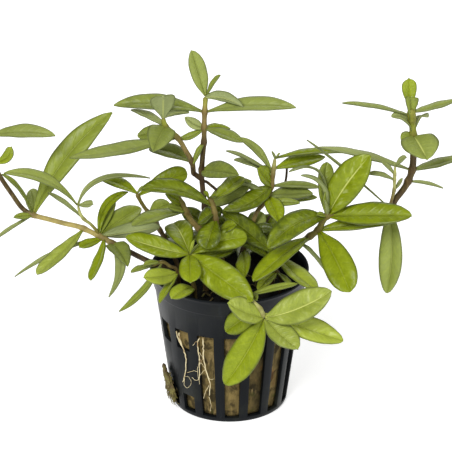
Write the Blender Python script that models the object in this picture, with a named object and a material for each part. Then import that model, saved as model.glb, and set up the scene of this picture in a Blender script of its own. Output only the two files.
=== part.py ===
"""Potted dwarf hygrophila: a bunch of rooted stem cuttings in a small slotted net pot.

Run with: blender --background --python part.py

Metres, +Z up. The origin is the centre of the pot's underside, and the front is towards -Y.
The sizes below are in millimetres, and MM turns them into metres.
"""
import math
from dataclasses import dataclass

import bmesh
import bpy
from mathutils import Vector

MM = 0.001
GAP = 0.3                    # air between pieces that touch
UP = Vector((0.0, 0.0, 1.0))

# Net pot, outside measures
POT_HEIGHT = 50.5
POT_BASE_RADIUS = 20.0
POT_TAPER = 0.133            # how much the wall's radius grows for each millimetre of height
POT_WALL = 1.2
POT_LIP_RADIUS = 27.5
POT_LIP_HEIGHT = 0.9
POT_BAND_BOTTOM = 44.3       # the smooth band under the lip stands a little proud of the wall
POT_BAND_PROUD = 0.4

# Slots in the pot's wall: columns round the axis, angles in degrees from the front
SLOT_COLUMNS = 16
SLOT_PHASE = 2.5
SLOT_WIDTH = 14.0
SLOT_BOTTOM = 1.8
SLOT_TOP = 35.0
PLATE_COLUMNS = (12, 13, 14)  # these have a blank plate between two short windows
PLATE_BOTTOM = 8.4
PLATE_TOP = 27.3

# Drain slots in the pot's base
BASE_SLOT_INNER = 7.0
BASE_SLOT_OUTER = 17.0
BASE_SLOT_EVERY = 6          # wall segments from one drain slot to the next
BASE_SLOT_SEGMENT = 2        # the segment of each such run that is open

# Rock wool plug
WOOL_TOP = 43.5
WOOL_SIDES = 20
WOOL_SLACK = 0.1             # room beside the wall, besides the gap
WOOL_CROWN = 1.2             # how far the middle of the top is sunk
WOOL_CROWN_INSET = 0.4       # share of the radius that the sunk middle leaves as a border
PLANTING_DEPTH = 4.0         # how deep the stems stand in the wool
POCKET_HEADROOM = 3.0        # how far the cutter of a stem's pocket goes on above the wool

# Roots: places are (angle in degrees from the front, height, distance outside the wall)
ROOT_LEFT = (
    (-45.5, 34.0, 0.1), (-43.0, 29.6, 0.7), (-39.5, 25.0, 0.8), (-38.0, 21.5, 0.8),
    (-38.5, 17.5, 0.8), (-40.0, 14.0, 0.8), (-41.5, 11.5, 0.8),
)
ROOT_LEFT_SIDE = ((-48.5, 33.0, 0.1), (-45.5, 30.2, 0.5), (-42.5, 28.6, 0.7))
ROOT_MIDDLE = (
    (-21.5, 34.2, -0.7), (-20.0, 30.4, -0.6), (-20.5, 27.0, -0.6), (-19.0, 21.0, -0.6),
    (-17.0, 16.0, -0.6), (-17.6, 12.0, -0.6), (-17.8, 4.5, -0.7),
)
ROOT_TAPER = 0.5             # share of a root's radius that is lost on the way to its end

# Root tuft: a lump outside the wall at the pot's left
TUFT_ANGLE = -75.0
TUFT_HALF_ANGLE = 9.0
TUFT_HEIGHT = 7.6
TUFT_HALF_HEIGHT = 5.2
TUFT_HALF_DEPTH = 1.0
TUFT_RIPPLE = 0.16

# Stems and leaves
STEM_SIDES = 6
LEAF_FOLD = 12.0             # degrees that each half of a blade rises from the midrib
LEAF_THICKNESS = 0.7
LEAF_THINNING = 0.6          # share of the thickness that is lost on the way to the tip
LEAF_FOOT = 0.45             # half width of a blade where it leaves the stem
LEAST_SLANT = 0.4            # least sine of the angle between stem and leaf in the leaf's start
SHARP_ANGLE = 40.0           # edges that turn by more degrees stay sharp

# How wide a blade is along its length: (place from base to tip, share of its full width)
BLADE_OUTLINE = (
    (0.0, 0.12), (0.15, 0.48), (0.37, 0.92), (0.63, 0.99), (0.86, 0.66), (1.0, 0.1),
)
YOUNG_OUTLINE = ((0.0, 0.15), (0.24, 0.66), (0.53, 1.0), (0.81, 0.74), (1.0, 0.1))
BUD_OUTLINE = ((0.0, 0.2), (0.37, 0.94), (0.72, 0.84), (1.0, 0.12))
BUD_LENGTH = 14.0            # blades shorter than this have the bud outline


@dataclass(frozen=True)
class Stem:
    """One stem: the points that it runs through and its radius at both ends."""

    name: str
    route: tuple
    base_radius: float
    tip_radius: float


@dataclass(frozen=True)
class Leaf:
    """One leaf: where it leaves its stem, how far it reaches, and how its face is turned.

    node counts along the stem's route points. reach goes from the stem to the leaf's tip.
    lean turns the upper face towards the front, in degrees, and bow moves the blade's middle.
    """

    name: str
    stem: str
    node: float
    reach: tuple
    width: float
    lean: float = 0.0
    bow: tuple = (0.0, 0.0, 0.5)


STEMS = (
    Stem("middle", ((-4, 4, 39.5), (-6.6, 4, 54.8), (-8.2, 3, 68.7), (-9.5, 3, 82.8), (-9.3, 2, 89.7),
                    (-8.7, 1, 97.3), (-8.6, 0, 103), (-8.4, 0, 109), (-8.1, 0, 114.5)), 1.05, 0.9),
    Stem("left_branch", ((-12.3, 2.2, 85), (-12.8, -0.8, 90.7), (-14.8, -2, 95.3), (-16.8, -2.5, 99.3),
                         (-19.1, -3, 102.5), (-21.7, -3, 105.1), (-22.5, -3, 108.1)), 0.95, 0.85),
    Stem("knee", ((-2, -7, 39.5), (-2.9, -8, 62.7), (-4.3, -9, 70.8), (-5.6, -9, 78), (-7, -8, 80.5)),
         0.95, 0.8),
    Stem("left_back", ((-15, 7, 39.5), (-20, 9, 51.6), (-24.1, 9, 60.1), (-27.5, 9, 66.2),
                       (-29.2, 9, 68.5), (-30.9, 8, 72.1), (-31.9, 8, 74.7)), 0.9, 0.65),
    Stem("left_front", ((-8, 0, 39.5), (-8.8, -2, 59.5), (-10.1, -3, 65.7), (-12.8, -4, 69.7),
                        (-14.9, -5, 74), (-16.2, -5, 76.7), (-18.2, -5, 80.8)), 1.15, 0.95),
    Stem("runner_left", ((-17, -2, 39.5), (-21.2, -2, 50.4), (-27.8, -1, 52.9), (-35, 0, 56.4),
                         (-40.5, 0, 59.5), (-44.9, 1, 61.7), (-51.5, 2, 64.6), (-56.7, 3, 65.5),
                         (-61.8, 4, 66.5), (-67.7, 5, 67.8), (-71.5, 6, 70), (-74.9, 7, 74.8),
                         (-77.3, 8, 78.2), (-78.9, 8, 81.2), (-81.2, 8, 86.2), (-82.1, 7, 91.9),
                         (-82.4, 6, 97.3)), 1.0, 0.8),
    Stem("shoot_left", ((-45.8, 1, 63.9), (-47.8, 0, 66.8), (-50, -1, 69.2), (-51.3, -1, 71.6),
                        (-51.9, -1, 74.5)), 0.6, 0.5),
    Stem("rosette", ((-11, -14, 39.5), (-12.8, -14, 54.2), (-13.5, -13, 59.4), (-13.5, -13, 61.6)),
         0.85, 0.8),
    Stem("low_left", ((-17, -9, 39.5), (-17.6, -13, 54.5), (-20.3, -15, 58.1), (-23, -16, 60.2),
                      (-26.4, -17, 59.1)), 0.7, 0.5),
    Stem("low_right", ((17, -6, 39.5), (17.7, -8, 49.3), (16.3, -9, 52.8), (14.6, -9, 55.1)), 0.7, 0.6),
    Stem("right_inner", ((4, 4, 39.5), (3.6, 2, 51.2), (4.7, 1, 56.3), (7.1, 2, 62.7), (9.1, 3, 69.1),
                         (11.2, 4, 72.1), (13.2, 5, 75), (14.6, 6, 78.4), (14.9, 6, 82.5),
                         (15.6, 7, 88.5)), 0.85, 0.7),
    Stem("front_shoot", ((8, -14, 39.5), (6, -20, 47.4), (5, -25, 52.7), (7.6, -28.6, 51.7),
                         (10.3, -29.9, 49.3), (11.7, -31, 46.5)), 0.85, 0.8),
    Stem("runner_right", ((15, 1, 39.5), (14, -2, 53.2), (16, -3, 56.4), (20.1, -4, 59.2), (24.2, -5, 62),
                          (27.6, -5, 64.6), (30.3, -5, 66.9), (33.3, -5, 72.2), (39.5, -3, 72.8),
                          (47.5, 0, 71.7), (54.8, 2, 72.3), (57.3, 3, 75.2), (60.5, 4, 79.5),
                          (62.5, 4, 85.4), (62.8, 4, 92.2), (62.5, 3, 99), (62, 3, 104.6),
                          (61.5, 2, 109.1)), 1.05, 0.85),
    Stem("shoot_right", ((55.3, 0.6, 74.4), (56.3, 0, 79.7), (56.3, -1, 84), (56.4, -1, 89.2)), 0.6, 0.5),
)

# Large leaves, each a piece of its own
LEAVES = (
    Leaf("middle_top", "middle", 8, (-4.7, 0, 17), 6, 65),
    Leaf("middle_right", "middle", 7, (30.7, -7.5, 5), 7, 20, (0, 0, 1.8)),
    Leaf("middle_left", "middle", 7, (-30.8, 0.6, 2.2), 7.5, 20, (0, 0, 2)),
    Leaf("middle_low", "middle", 3.4, (12.4, -12.6, 4.7), 7.4, 35),
    Leaf("branch_front", "left_branch", 5, (-3.8, -14.4, -2.7), 9.2, 15),
    Leaf("branch_long", "left_branch", 3.4, (-36.4, -5.6, -4.8), 7.5, 10, (0, -0.4, -0.5)),
    Leaf("knee_long", "knee", 3, (-24, -5.4, 8.6), 7.5, 20, (0, -0.7, 1.9)),
    Leaf("knee_right", "knee", 3.5, (10.4, 12.6, 3.7), 6.5, -5, (0.3, 0, -0.4)),
    Leaf("knee_front", "knee", 2.3, (-3.3, -8.5, -7.1), 8.4, 0, (0, 0, 0.9)),
    Leaf("left_front_long", "left_front", 4, (-18.2, -10.5, -0.2), 7, 5, (0, 0, 1)),
    Leaf("runner_long", "runner_left", 9, (27.3, 15, 32), 9.5, 30, (-2.3, 0, 2.2)),
    Leaf("runner_outer", "runner_left", 5.8, (-15.6, -16, -9.4), 7, -5, (1.2, 0, 0.4)),
    Leaf("runner_drooping", "runner_left", 4, (5.8, -13.7, -2), 7.5, 0, (0, 0, 1.5)),
    Leaf("runner_upper", "runner_left", 5, (14, 13.7, 4.3), 8, 15, (0, 0, 0.6)),
    Leaf("runner_inner", "runner_left", 5, (21, -1.5, 4.6), 7, -70, (0, 0, -0.2)),
    Leaf("shoot_left_long", "shoot_left", 4, (-24.7, -4.9, 14.4), 5.6, 20, (1.5, 0, 3.6)),
    Leaf("rosette_left", "rosette", 3, (-21.5, -7.6, 10.2), 8.8, 30, (0, 0, -0.6)),
    Leaf("rosette_back", "rosette", 3, (-5.6, 16, 4.1), 9.2, 10, (0, 0, 1.2)),
    Leaf("rosette_front", "rosette", 3, (0.3, -14.6, -3.3), 7.8, -5, (0, 0, 1.2)),
    Leaf("rosette_right", "rosette", 3, (19.5, 1.6, 5.6), 7.4, 55, (0, 0, 1.6)),
    Leaf("rosette_long", "rosette", 3, (21.2, -18.2, -8.6), 11, 40, (-0.6, 0, 0.4)),
    Leaf("low_left_side", "low_left", 1, (-11.4, -9.6, 3.3), 6.6, 40, (0, -0.8, -0.3)),
    Leaf("front_left", "front_shoot", 5, (-12.2, -5.7, 8.6), 8.2, 40, (0, 0, -0.6)),
    Leaf("front_right", "front_shoot", 5, (22.4, -4.3, 12.4), 11, 50, (0, 0, -1.6)),
    Leaf("front_right_low", "front_shoot", 5, (11.3, -11, -6), 9, 15, (0, 0, -0.4)),
    Leaf("front_hanging", "front_shoot", 5, (-13.3, -1, -25), 10.8, 60, (0.9, -0.6, 0)),
    Leaf("front_hanging_back", "front_shoot", 4, (-11.6, 3.4, -10.4), 8, 76),
    Leaf("front_far_right", "front_shoot", 4.6, (27.5, 2, -11), 9, 40, (0, -0.8, 0.5)),
    Leaf("right_inner_top", "right_inner", 8.1, (-12, 0.8, 13.2), 4.2, 20, (0.9, 0.3, 1.3)),
    Leaf("right_inner_side", "right_inner", 7, (-16.8, -9.9, -4.4), 7.2, 10, (0, 0, -1.9)),
    Leaf("right_inner_back", "right_inner", 8.4, (17.9, 9.6, -0.1), 6.2, 20),
    Leaf("right_first_up", "runner_right", 2, (-18.6, 3, 15.3), 7.6, 40, (-1, 0, 1.8)),
    Leaf("right_first_down", "runner_right", 2, (13.8, -16.3, -5.2), 7.5, 0, (0, 0, -0.6)),
    Leaf("right_second", "runner_right", 5, (-19.6, -18.3, -8), 8.5, 0, (0, 0, 1)),
    Leaf("right_tall", "runner_right", 7, (14.3, 0, 22.9), 11.5, 60, (-1, 0, 0)),
    Leaf("right_wide", "runner_right", 7, (28.4, -8.7, 4.4), 9.5, 30, (0, 0, 0.4)),
    Leaf("right_drooping", "runner_right", 6, (10.4, -23, -12), 10.5, 25, (0, -1, 2.2)),
    Leaf("right_inward", "runner_right", 7, (-20.3, -15.6, -4.5), 9.5, 30, (0, 0, 3.6)),
    Leaf("right_hanging", "runner_right", 10, (-0.6, -7.4, -29.4), 9, -25, (1.4, 0, 0)),
    Leaf("right_round", "runner_right", 15, (4.4, -12.5, -3.3), 13, 5, (-0.6, 0, 1.4)),
    Leaf("right_crossing", "runner_right", 13, (-32.4, -2.9, 10), 6.4, 0, (0, 0, 0.8)),
)

# Small leaves, grown together with their stems
SMALL_LEAVES = (
    Leaf("tip_right", "middle", 8, (4.9, 0.5, 7.9), 3, 10, (0, 0, 1)),
    Leaf("tip_front", "middle", 8, (12.6, -6, -0.6), 5, -70, (0, 0, 1.5)),
    Leaf("upper_left", "middle", 6, (-6.5, 2, 3.1), 3.8, 40, (0, 0, -0.6)),
    Leaf("upper_right", "middle", 6, (8.9, 5.8, -2.8), 4, 10, (0, 0, 0.4)),
    Leaf("upper_front", "middle", 6, (12.9, -9.6, -0.8), 6, 15, (0, 0, 0)),
    Leaf("middle_side", "middle", 6, (-8.4, 0, -3.9), 3.4, 20, (0, 0, -0.9)),
    Leaf("lower_bud", "middle", 5, (-3.7, -3.2, -6.8), 3, -10),
    Leaf("back", "middle", 1, (-4, 20, -4), 8, 0, (0, 0, 2)),
    Leaf("outer", "left_branch", 5, (-9.6, 4, -5.4), 5.2, 50, (0, 0.6, -1)),
    Leaf("under", "left_branch", 1, (-14.8, 8.3, 1), 7, 15, (0, 0, 1.4)),
    Leaf("upper", "left_branch", 5, (-11.8, 6.9, 3), 5, -5, (0, 0, 0.7)),
    Leaf("tip_front", "left_branch", 6, (0.2, -6.7, 11.1), 8, 5, (0, 1, 0)),
    Leaf("tip_right", "left_branch", 6, (8.7, 4.9, -0.2), 4, -65, (0, 0, 1.2)),
    Leaf("tip", "left_back", 6, (-12.3, 8.5, 1.3), 5, 15, (0, 0, 1)),
    Leaf("tip_right", "left_back", 6, (3.1, 1, 2.2), 1.4, 20),
    Leaf("dark", "left_back", 5.6, (17, 2.6, 7.2), 6.5, 50, (1, 0, 1.9)),
    Leaf("side", "left_back", 3, (7, 0, 3.8), 6, 60),
    Leaf("back_low", "left_back", 1, (-6, 19, -6), 8, 0, (0, 0, 2)),
    Leaf("back_high", "left_back", 2, (-10, 16, -4), 7, 0, (0, 0, 1.5)),
    Leaf("tip", "left_front", 5, (-5.3, -5.5, 6.4), 5, 60),
    Leaf("side", "left_front", 4, (-6, -5.3, 4.1), 4, 35),
    Leaf("back", "left_front", 1, (-9, 16, -4), 7, 0, (0, 0, 2)),
    Leaf("bend_up", "runner_left", 9, (-1.5, 11.1, 4.3), 5.5, 30, (0.6, 0, 1)),
    Leaf("bend_left", "runner_left", 9, (-6.3, -5, 1.6), 2.8, 30, (0, 0, 0)),
    Leaf("bend_low", "runner_left", 9, (-14.6, -6, -7.6), 3, 0),
    Leaf("bend_narrow", "runner_left", 9, (-10.2, -0.8, 16), 4, 5, (0.9, 0, 1.5)),
    Leaf("outer_thin", "runner_left", 4.7, (-31.3, 6.5, -18.1), 5, -5, (0, 0, 0.6)),
    Leaf("outer_stub", "runner_left", 4.7, (-8, -5.6, -0.6), 4, 20, (0, 0, 0)),
    Leaf("hanging", "runner_left", 4.7, (-4.0, -14.3, -9.0), 6, -40, (1.2, 0, 1)),
    Leaf("drooping", "runner_left", 3.7, (-2.4, -18.5, -10.4), 6, -30, (2.8, 0, 0.2)),
    Leaf("upright", "runner_left", 5, (9.8, 14.3, 10), 4.6, 10, (-2.6, 0, 2.8)),
    Leaf("upright_short", "runner_left", 5, (5.2, 13.2, 7.4), 5, 0, (0, 0, 0.6)),
    Leaf("top_front", "runner_left", 16, (23.2, -5.6, 2.7), 6.5, 20, (0, 0, 1.5)),
    Leaf("top_low", "runner_left", 14, (6.4, -0.6, 6.3), 4.5, 45, (1.6, 0, -1)),
    Leaf("narrow", "shoot_left", 2, (-12.3, 4, 8.2), 3, -5, (0, 0, 0.8)),
    Leaf("far", "shoot_left", 4, (24.6, 10, 5.6), 3, 5, (-4.5, 2, 3.6)),
    Leaf("right", "shoot_left", 4, (5.2, -2, 1.4), 3.4, 20, (0, 0, 0)),
    Leaf("tip", "low_left", 3.2, (-5.4, -4.6, 1.4), 3, 10),
    Leaf("end", "low_left", 4, (-7.1, -3.7, -0.4), 3, 5),
    Leaf("thin", "low_left", 3, (-14.9, 0, -18.9), 4, 20, (1.3, 0, -1.2)),
    Leaf("over_rim", "low_left", 1, (-6.2, -11.6, -5.5), 5, -30),
    Leaf("over_rim", "rosette", 0.6, (-7.7, -11.5, 2.9), 6, 20, (1, -0.6, 1.8)),
    Leaf("left", "low_right", 2, (-6.6, -9.8, -1.9), 5, -5),
    Leaf("right", "low_right", 2, (5, -7.1, -2.2), 4, -20),
    Leaf("top_thin", "right_inner", 8, (-16, -1.5, 10), 3, -5, (0, 0, 1)),
    Leaf("top_low", "right_inner", 8, (-13.4, 0, 5.9), 3.6, 0, (0, 0, 1)),
    Leaf("upper_front", "right_inner", 7, (-4.9, -4.7, 8.7), 5, 75),
    Leaf("dark", "right_inner", 6, (4, -10.9, -4.8), 6.5, 0, (0, 0, 1)),
    Leaf("tip", "right_inner", 9, (26, 10, -2.4), 5, 0, (0, 0, 1.2)),
    Leaf("far_upper", "right_inner", 7, (16.8, 9.7, -5), 5, 5),
    Leaf("far_lower", "right_inner", 6, (15.6, 6.4, -1.9), 5, 0),
    Leaf("inner_bud", "right_inner", 6, (-10, 3, 3.6), 4, -60),
    Leaf("low_front", "right_inner", 2, (0.6, -14.7, -3), 6.5, 40),
    Leaf("back", "right_inner", 1, (5, 20, -3), 7.5, 0, (0, 0, 2)),
    Leaf("tall", "runner_right", 7, (0, 7.8, 16.7), 6.5, 35, (-0.8, 0, 0)),
    Leaf("tall_short", "runner_right", 7, (-0.4, 0.4, 9.3), 4, 5),
    Leaf("long", "runner_right", 6, (24.6, 0.1, 4.9), 7.5, 0, (0, 0, 1)),
    Leaf("hanging", "runner_right", 4, (8.4, -9.8, -5.4), 4, -65, (0, 0, 1)),
    Leaf("curled_high", "runner_right", 7, (-13, 6, 14), 3.4, -30, (4, 0, 8)),
    Leaf("curled_low", "runner_right", 7, (-9, 1.7, 14.7), 3.4, -45, (3, 0, 3.4)),
    Leaf("tip", "runner_right", 17, (-0.7, 0.5, 11.2), 5.2, 25, (-0.2, 0, 0)),
    Leaf("cup_left", "runner_right", 16.8, (-2.7, -1.4, 4.2), 3, 0),
    Leaf("cup_right", "runner_right", 16.8, (3.5, -1.4, 4.2), 3, 0),
    Leaf("top_left", "runner_right", 16.4, (-23.3, 8.8, 0.9), 5, -10, (0, 0, 0.6)),
    Leaf("top_right", "runner_right", 16.7, (16.3, 7.5, 1.6), 5.5, -5, (0, 0, -0.5)),
    Leaf("upper_left", "runner_right", 15, (-7.6, 0.1, 6.9), 4, 10, (0, 0, 0.8)),
    Leaf("upper_right", "runner_right", 15, (5.3, 5.9, 4.2), 4, -30, (0, 0, 0.8)),
    Leaf("side", "runner_right", 13, (17.5, 7.2, 1.9), 6, 0, (0, 0, -0.4)),
    Leaf("side_low", "runner_right", 12.3, (12.3, 0.7, -3), 2.6, 0, (0, 0, 0.6)),
    Leaf("crossing_thin", "runner_right", 10, (-28.4, 0.1, 25.4), 3, -10, (0, 0, 0.6)),
    Leaf("back", "runner_right", 1, (10, 19, -2), 8, 0, (0, 0, 2)),
    Leaf("left", "shoot_right", 2, (-9.5, -1.3, 2.9), 4, 0, (0, 0, 0.8)),
    Leaf("tip", "shoot_right", 3, (3.6, -2.1, 4.4), 3, 35),
)


def clear_scene():
    """Remove every object that the file starts with."""
    for thing in list(bpy.data.objects):
        bpy.data.objects.remove(thing, do_unlink=True)


def material(name, colour, roughness):
    """Principled material with one colour and one roughness."""
    made = bpy.data.materials.new(name)
    made.use_nodes = True
    shader = made.node_tree.nodes["Principled BSDF"]
    shader.inputs["Base Color"].default_value = (*colour, 1.0)
    shader.inputs["Roughness"].default_value = roughness
    shader.inputs["Metallic"].default_value = 0.0
    return made


def add_object(name, bm, finish):
    """Turn a bmesh into a smooth-shaded object with one material."""
    mesh = bpy.data.meshes.new(name)
    bm.to_mesh(mesh)
    bm.free()
    mesh.materials.append(finish)
    mesh.shade_smooth()
    mesh.set_sharp_from_angle(angle=math.radians(SHARP_ANGLE))
    made = bpy.data.objects.new(name, mesh)
    bpy.context.scene.collection.objects.link(made)
    return made


def make_guide(thing):
    """Keep an object only as a helper for a modifier."""
    thing.hide_render = True
    thing.display_type = "WIRE"


def combine(thing, helper, operation):
    """Join a helper to an object, or cut it out, with an exact Boolean modifier."""
    make_guide(helper)
    modifier = thing.modifiers.new(helper.name, "BOOLEAN")
    modifier.object = helper
    modifier.operation = operation
    modifier.solver = "EXACT"


def face_outwards(bm):
    """Turn all faces of a closed shape outwards."""
    bm.normal_update()
    bmesh.ops.recalc_face_normals(bm, faces=bm.faces[:])


def grow(rings):
    """Solid that is extruded from ring to ring, each with the same number of corners."""
    bm = bmesh.new()
    end = bm.faces.new([bm.verts.new(corner * MM) for corner in rings[0]])
    for ring in rings[1:]:
        end = bmesh.ops.extrude_discrete_faces(bm, faces=[end])["faces"][0]
        for vertex, corner in zip(end.verts, ring):
            vertex.co = corner * MM
    bmesh.ops.holes_fill(bm, edges=bm.edges[:], sides=0)
    face_outwards(bm)
    return bm


def tube_rings(points, radii, sides):
    """Rings of a round tube that runs through the points without twisting."""
    rings = []
    side = None
    for index, point in enumerate(points):
        before = points[max(index - 1, 0)]
        after = points[min(index + 1, len(points) - 1)]
        along = (after - before).normalized()
        if side is None:
            side = along.orthogonal().normalized()
        side = (side - along * side.dot(along)).normalized()
        cross = along.cross(side)
        ring = []
        for corner in range(sides):
            turn = math.tau * corner / sides
            ring.append(point + (side * math.cos(turn) + cross * math.sin(turn)) * radii[index])
        rings.append(ring)
    return rings


def stem_radius(stem, place):
    """Radius of a stem at a place along its route points."""
    share = place / (len(stem.route) - 1)
    return stem.base_radius + (stem.tip_radius - stem.base_radius) * share


def stem_point(stem, place):
    """Point on a stem's centre line at a place along its route points."""
    lower = min(int(place), len(stem.route) - 2)
    first = Vector(stem.route[lower])
    second = Vector(stem.route[lower + 1])
    return first.lerp(second, place - lower)


def stem_direction(stem, place):
    """Direction of a stem at a place along its route points."""
    lower = stem_point(stem, max(place - 0.5, 0.0))
    upper = stem_point(stem, min(place + 0.5, len(stem.route) - 1))
    return (upper - lower).normalized()


def face_normal(reach, lean):
    """Normal of a leaf's upper face: upwards, then turned towards the front by lean degrees."""
    along = reach.normalized()
    upward = (UP - along * UP.dot(along)).normalized()
    sideways = along.cross(UP).normalized()
    if sideways.y > 0.0:
        sideways = -sideways
    turn = math.radians(lean)
    return upward * math.cos(turn) + sideways * math.sin(turn)


def blade_rings(base, tip, leaf, outline):
    """Four-cornered rings of a folded, arched blade: left edge, midrib top, right edge, midrib back."""
    reach = tip - base
    normal = face_normal(reach, leaf.lean)
    rings = []
    for place, share in outline:
        along = reach + Vector(leaf.bow) * 4.0 * (1.0 - 2.0 * place)
        across = along.cross(normal).normalized()
        centre = base + reach * place + Vector(leaf.bow) * 4.0 * place * (1.0 - place)
        half = max(leaf.width * share / 2.0, LEAF_FOOT * (1.0 - place))
        lift = normal * half * math.tan(math.radians(LEAF_FOLD))
        thick = normal * LEAF_THICKNESS / 2.0 * (1.0 - LEAF_THINNING * place)
        rings.append((centre - across * half + lift, centre + thick,
                      centre + across * half + lift, centre - thick))
    return rings


def leaf_start(leaf, stem):
    """Point where a separate leaf begins, just clear of its stem."""
    node = stem_point(stem, leaf.node)
    direction = Vector(leaf.reach).normalized()
    clear = stem_radius(stem, leaf.node) + 2.0 * GAP
    if leaf.node < len(stem.route) - 1:
        slant = direction.cross(stem_direction(stem, leaf.node)).length
        clear = (clear + LEAF_THICKNESS / 2.0) / max(slant, LEAST_SLANT)
    return node + direction * clear


def build_leaf(leaf, stem, finish):
    """One large leaf as a piece of its own."""
    tip = stem_point(stem, leaf.node) + Vector(leaf.reach)
    rings = blade_rings(leaf_start(leaf, stem), tip, leaf, BLADE_OUTLINE)
    return add_object("leaf_" + leaf.name, grow(rings), finish)


def build_small_leaf(leaf, stem, finish):
    """One small leaf that starts inside its stem, so that it can be joined to it."""
    base = stem_point(stem, leaf.node)
    outline = YOUNG_OUTLINE
    if Vector(leaf.reach).length < BUD_LENGTH:
        outline = BUD_OUTLINE
    rings = blade_rings(base, base + Vector(leaf.reach), leaf, outline)
    return add_object(stem.name + "_young_" + leaf.name, grow(rings), finish)


def build_stem(stem, finish):
    """One stem with its small leaves joined to it."""
    points = [Vector(point) for point in stem.route]
    radii = [stem_radius(stem, place) for place in range(len(points))]
    made = add_object("stem_" + stem.name, grow(tube_rings(points, radii, STEM_SIDES)), finish)
    for leaf in SMALL_LEAVES:
        if leaf.stem == stem.name:
            combine(made, build_small_leaf(leaf, stem, finish), "UNION")
    return made


def wall_radius(height):
    """Outer radius of the pot's wall at a height."""
    return POT_BASE_RADIUS + POT_TAPER * height


def pot_profile():
    """Outline of the pot's outer side, from the middle of its base up to the lip."""
    lip_bottom = POT_HEIGHT - POT_LIP_HEIGHT
    heights = (0.0, SLOT_BOTTOM, PLATE_BOTTOM, PLATE_TOP, SLOT_TOP, POT_BAND_BOTTOM)
    profile = [(BASE_SLOT_INNER, 0.0), (BASE_SLOT_OUTER, 0.0)]
    profile += [(wall_radius(height), height) for height in heights]
    band_step = POT_BAND_BOTTOM + POT_BAND_PROUD
    profile.append((wall_radius(band_step) + POT_BAND_PROUD, band_step))
    band_top = lip_bottom - POT_LIP_HEIGHT
    profile.append((wall_radius(band_top) + POT_BAND_PROUD, band_top))
    profile.append((POT_LIP_RADIUS, lip_bottom))
    profile.append((POT_LIP_RADIUS, POT_HEIGHT))
    return profile


def column_angle(column):
    """Angle from the front of a column line: each slot has two segments and each rib one."""
    pitch = 360.0 / SLOT_COLUMNS
    slot, line = divmod(column, 3)
    return SLOT_PHASE + slot * pitch + (line - 1) * SLOT_WIDTH / 2.0


def is_open(column, row, heights):
    """Whether a cell of the pot's sheet is a hole."""
    slot, line = divmod(column, 3)
    low, high = heights[row], heights[row + 1]
    if row == 0:
        return column % BASE_SLOT_EVERY == BASE_SLOT_SEGMENT
    if line == 2 or low < SLOT_BOTTOM or high > SLOT_TOP:
        return False
    return slot not in PLATE_COLUMNS or low < PLATE_BOTTOM or high > PLATE_TOP


def build_pot(finish):
    """Net pot: one sheet wrapped round the axis, holes left out, then thickened inwards."""
    profile = pot_profile()
    heights = [height for radius, height in profile]
    columns = SLOT_COLUMNS * 3
    bm = bmesh.new()
    grid = []
    for radius, height in profile:
        ring = []
        for column in range(columns):
            turn = math.radians(column_angle(column))
            ring.append(bm.verts.new(Vector((math.sin(turn), -math.cos(turn), 0.0)) * radius * MM
                                     + UP * height * MM))
        grid.append(ring)
    for row in range(len(profile) - 1):
        for column in range(columns):
            if not is_open(column, row, heights):
                following = (column + 1) % columns
                bm.faces.new((grid[row][column], grid[row][following],
                              grid[row + 1][following], grid[row + 1][column]))
    bm.faces.new(reversed(grid[0]))
    pot = add_object("net_pot", bm, finish)
    wall = pot.modifiers.new("wall", "SOLIDIFY")
    wall.thickness = POT_WALL * MM
    wall.offset = -1.0
    wall.use_even_offset = True
    return pot


def build_wool(finish):
    """Rock wool plug with a pocket for each stem that stands in it."""
    bottom = POT_WALL + GAP
    inset = POT_WALL + GAP + WOOL_SLACK
    bm = bmesh.new()
    bmesh.ops.create_cone(bm, cap_ends=True, segments=WOOL_SIDES,
                          radius1=(wall_radius(bottom) - inset) * MM,
                          radius2=(wall_radius(WOOL_TOP) - inset) * MM,
                          depth=(WOOL_TOP - bottom) * MM)
    bmesh.ops.translate(bm, verts=bm.verts[:], vec=UP * (WOOL_TOP + bottom) / 2.0 * MM)
    top = max(bm.faces, key=lambda face: face.calc_center_median().z)
    bmesh.ops.inset_region(bm, faces=[top], thickness=wall_radius(WOOL_TOP) * WOOL_CROWN_INSET * MM)
    for vertex in top.verts:
        turn = math.atan2(vertex.co.y, vertex.co.x)
        vertex.co.z -= WOOL_CROWN * (1.0 + 0.5 * math.sin(3.0 * turn)) * MM
    wool = add_object("rock_wool", bm, finish)
    for stem in STEMS:
        foot = Vector(stem.route[0])
        if foot.z < WOOL_TOP:
            heading = (Vector(stem.route[1]) - foot).normalized()
            points = [foot - heading * GAP, foot + heading * (PLANTING_DEPTH + POCKET_HEADROOM)]
            radius = stem.base_radius + GAP
            rings = tube_rings(points, [radius, radius], STEM_SIDES)
            pocket = add_object("pocket_" + stem.name, grow(rings), finish)
            combine(wool, pocket, "DIFFERENCE")
    return wool


def wall_point(angle, height, outwards):
    """Point by the pot's wall: angle in degrees from the front, height, distance outside the wall."""
    turn = math.radians(angle)
    radius = wall_radius(height) + outwards
    return Vector((math.sin(turn) * radius, -math.cos(turn) * radius, height))


def build_root(name, route, radius, finish):
    """Thin root that tapers to its end."""
    points = [wall_point(*place) for place in route]
    last = len(points) - 1
    radii = [radius * (1.0 - ROOT_TAPER * index / last) for index in range(len(points))]
    return add_object(name, grow(tube_rings(points, radii, STEM_SIDES)), finish)


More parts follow.
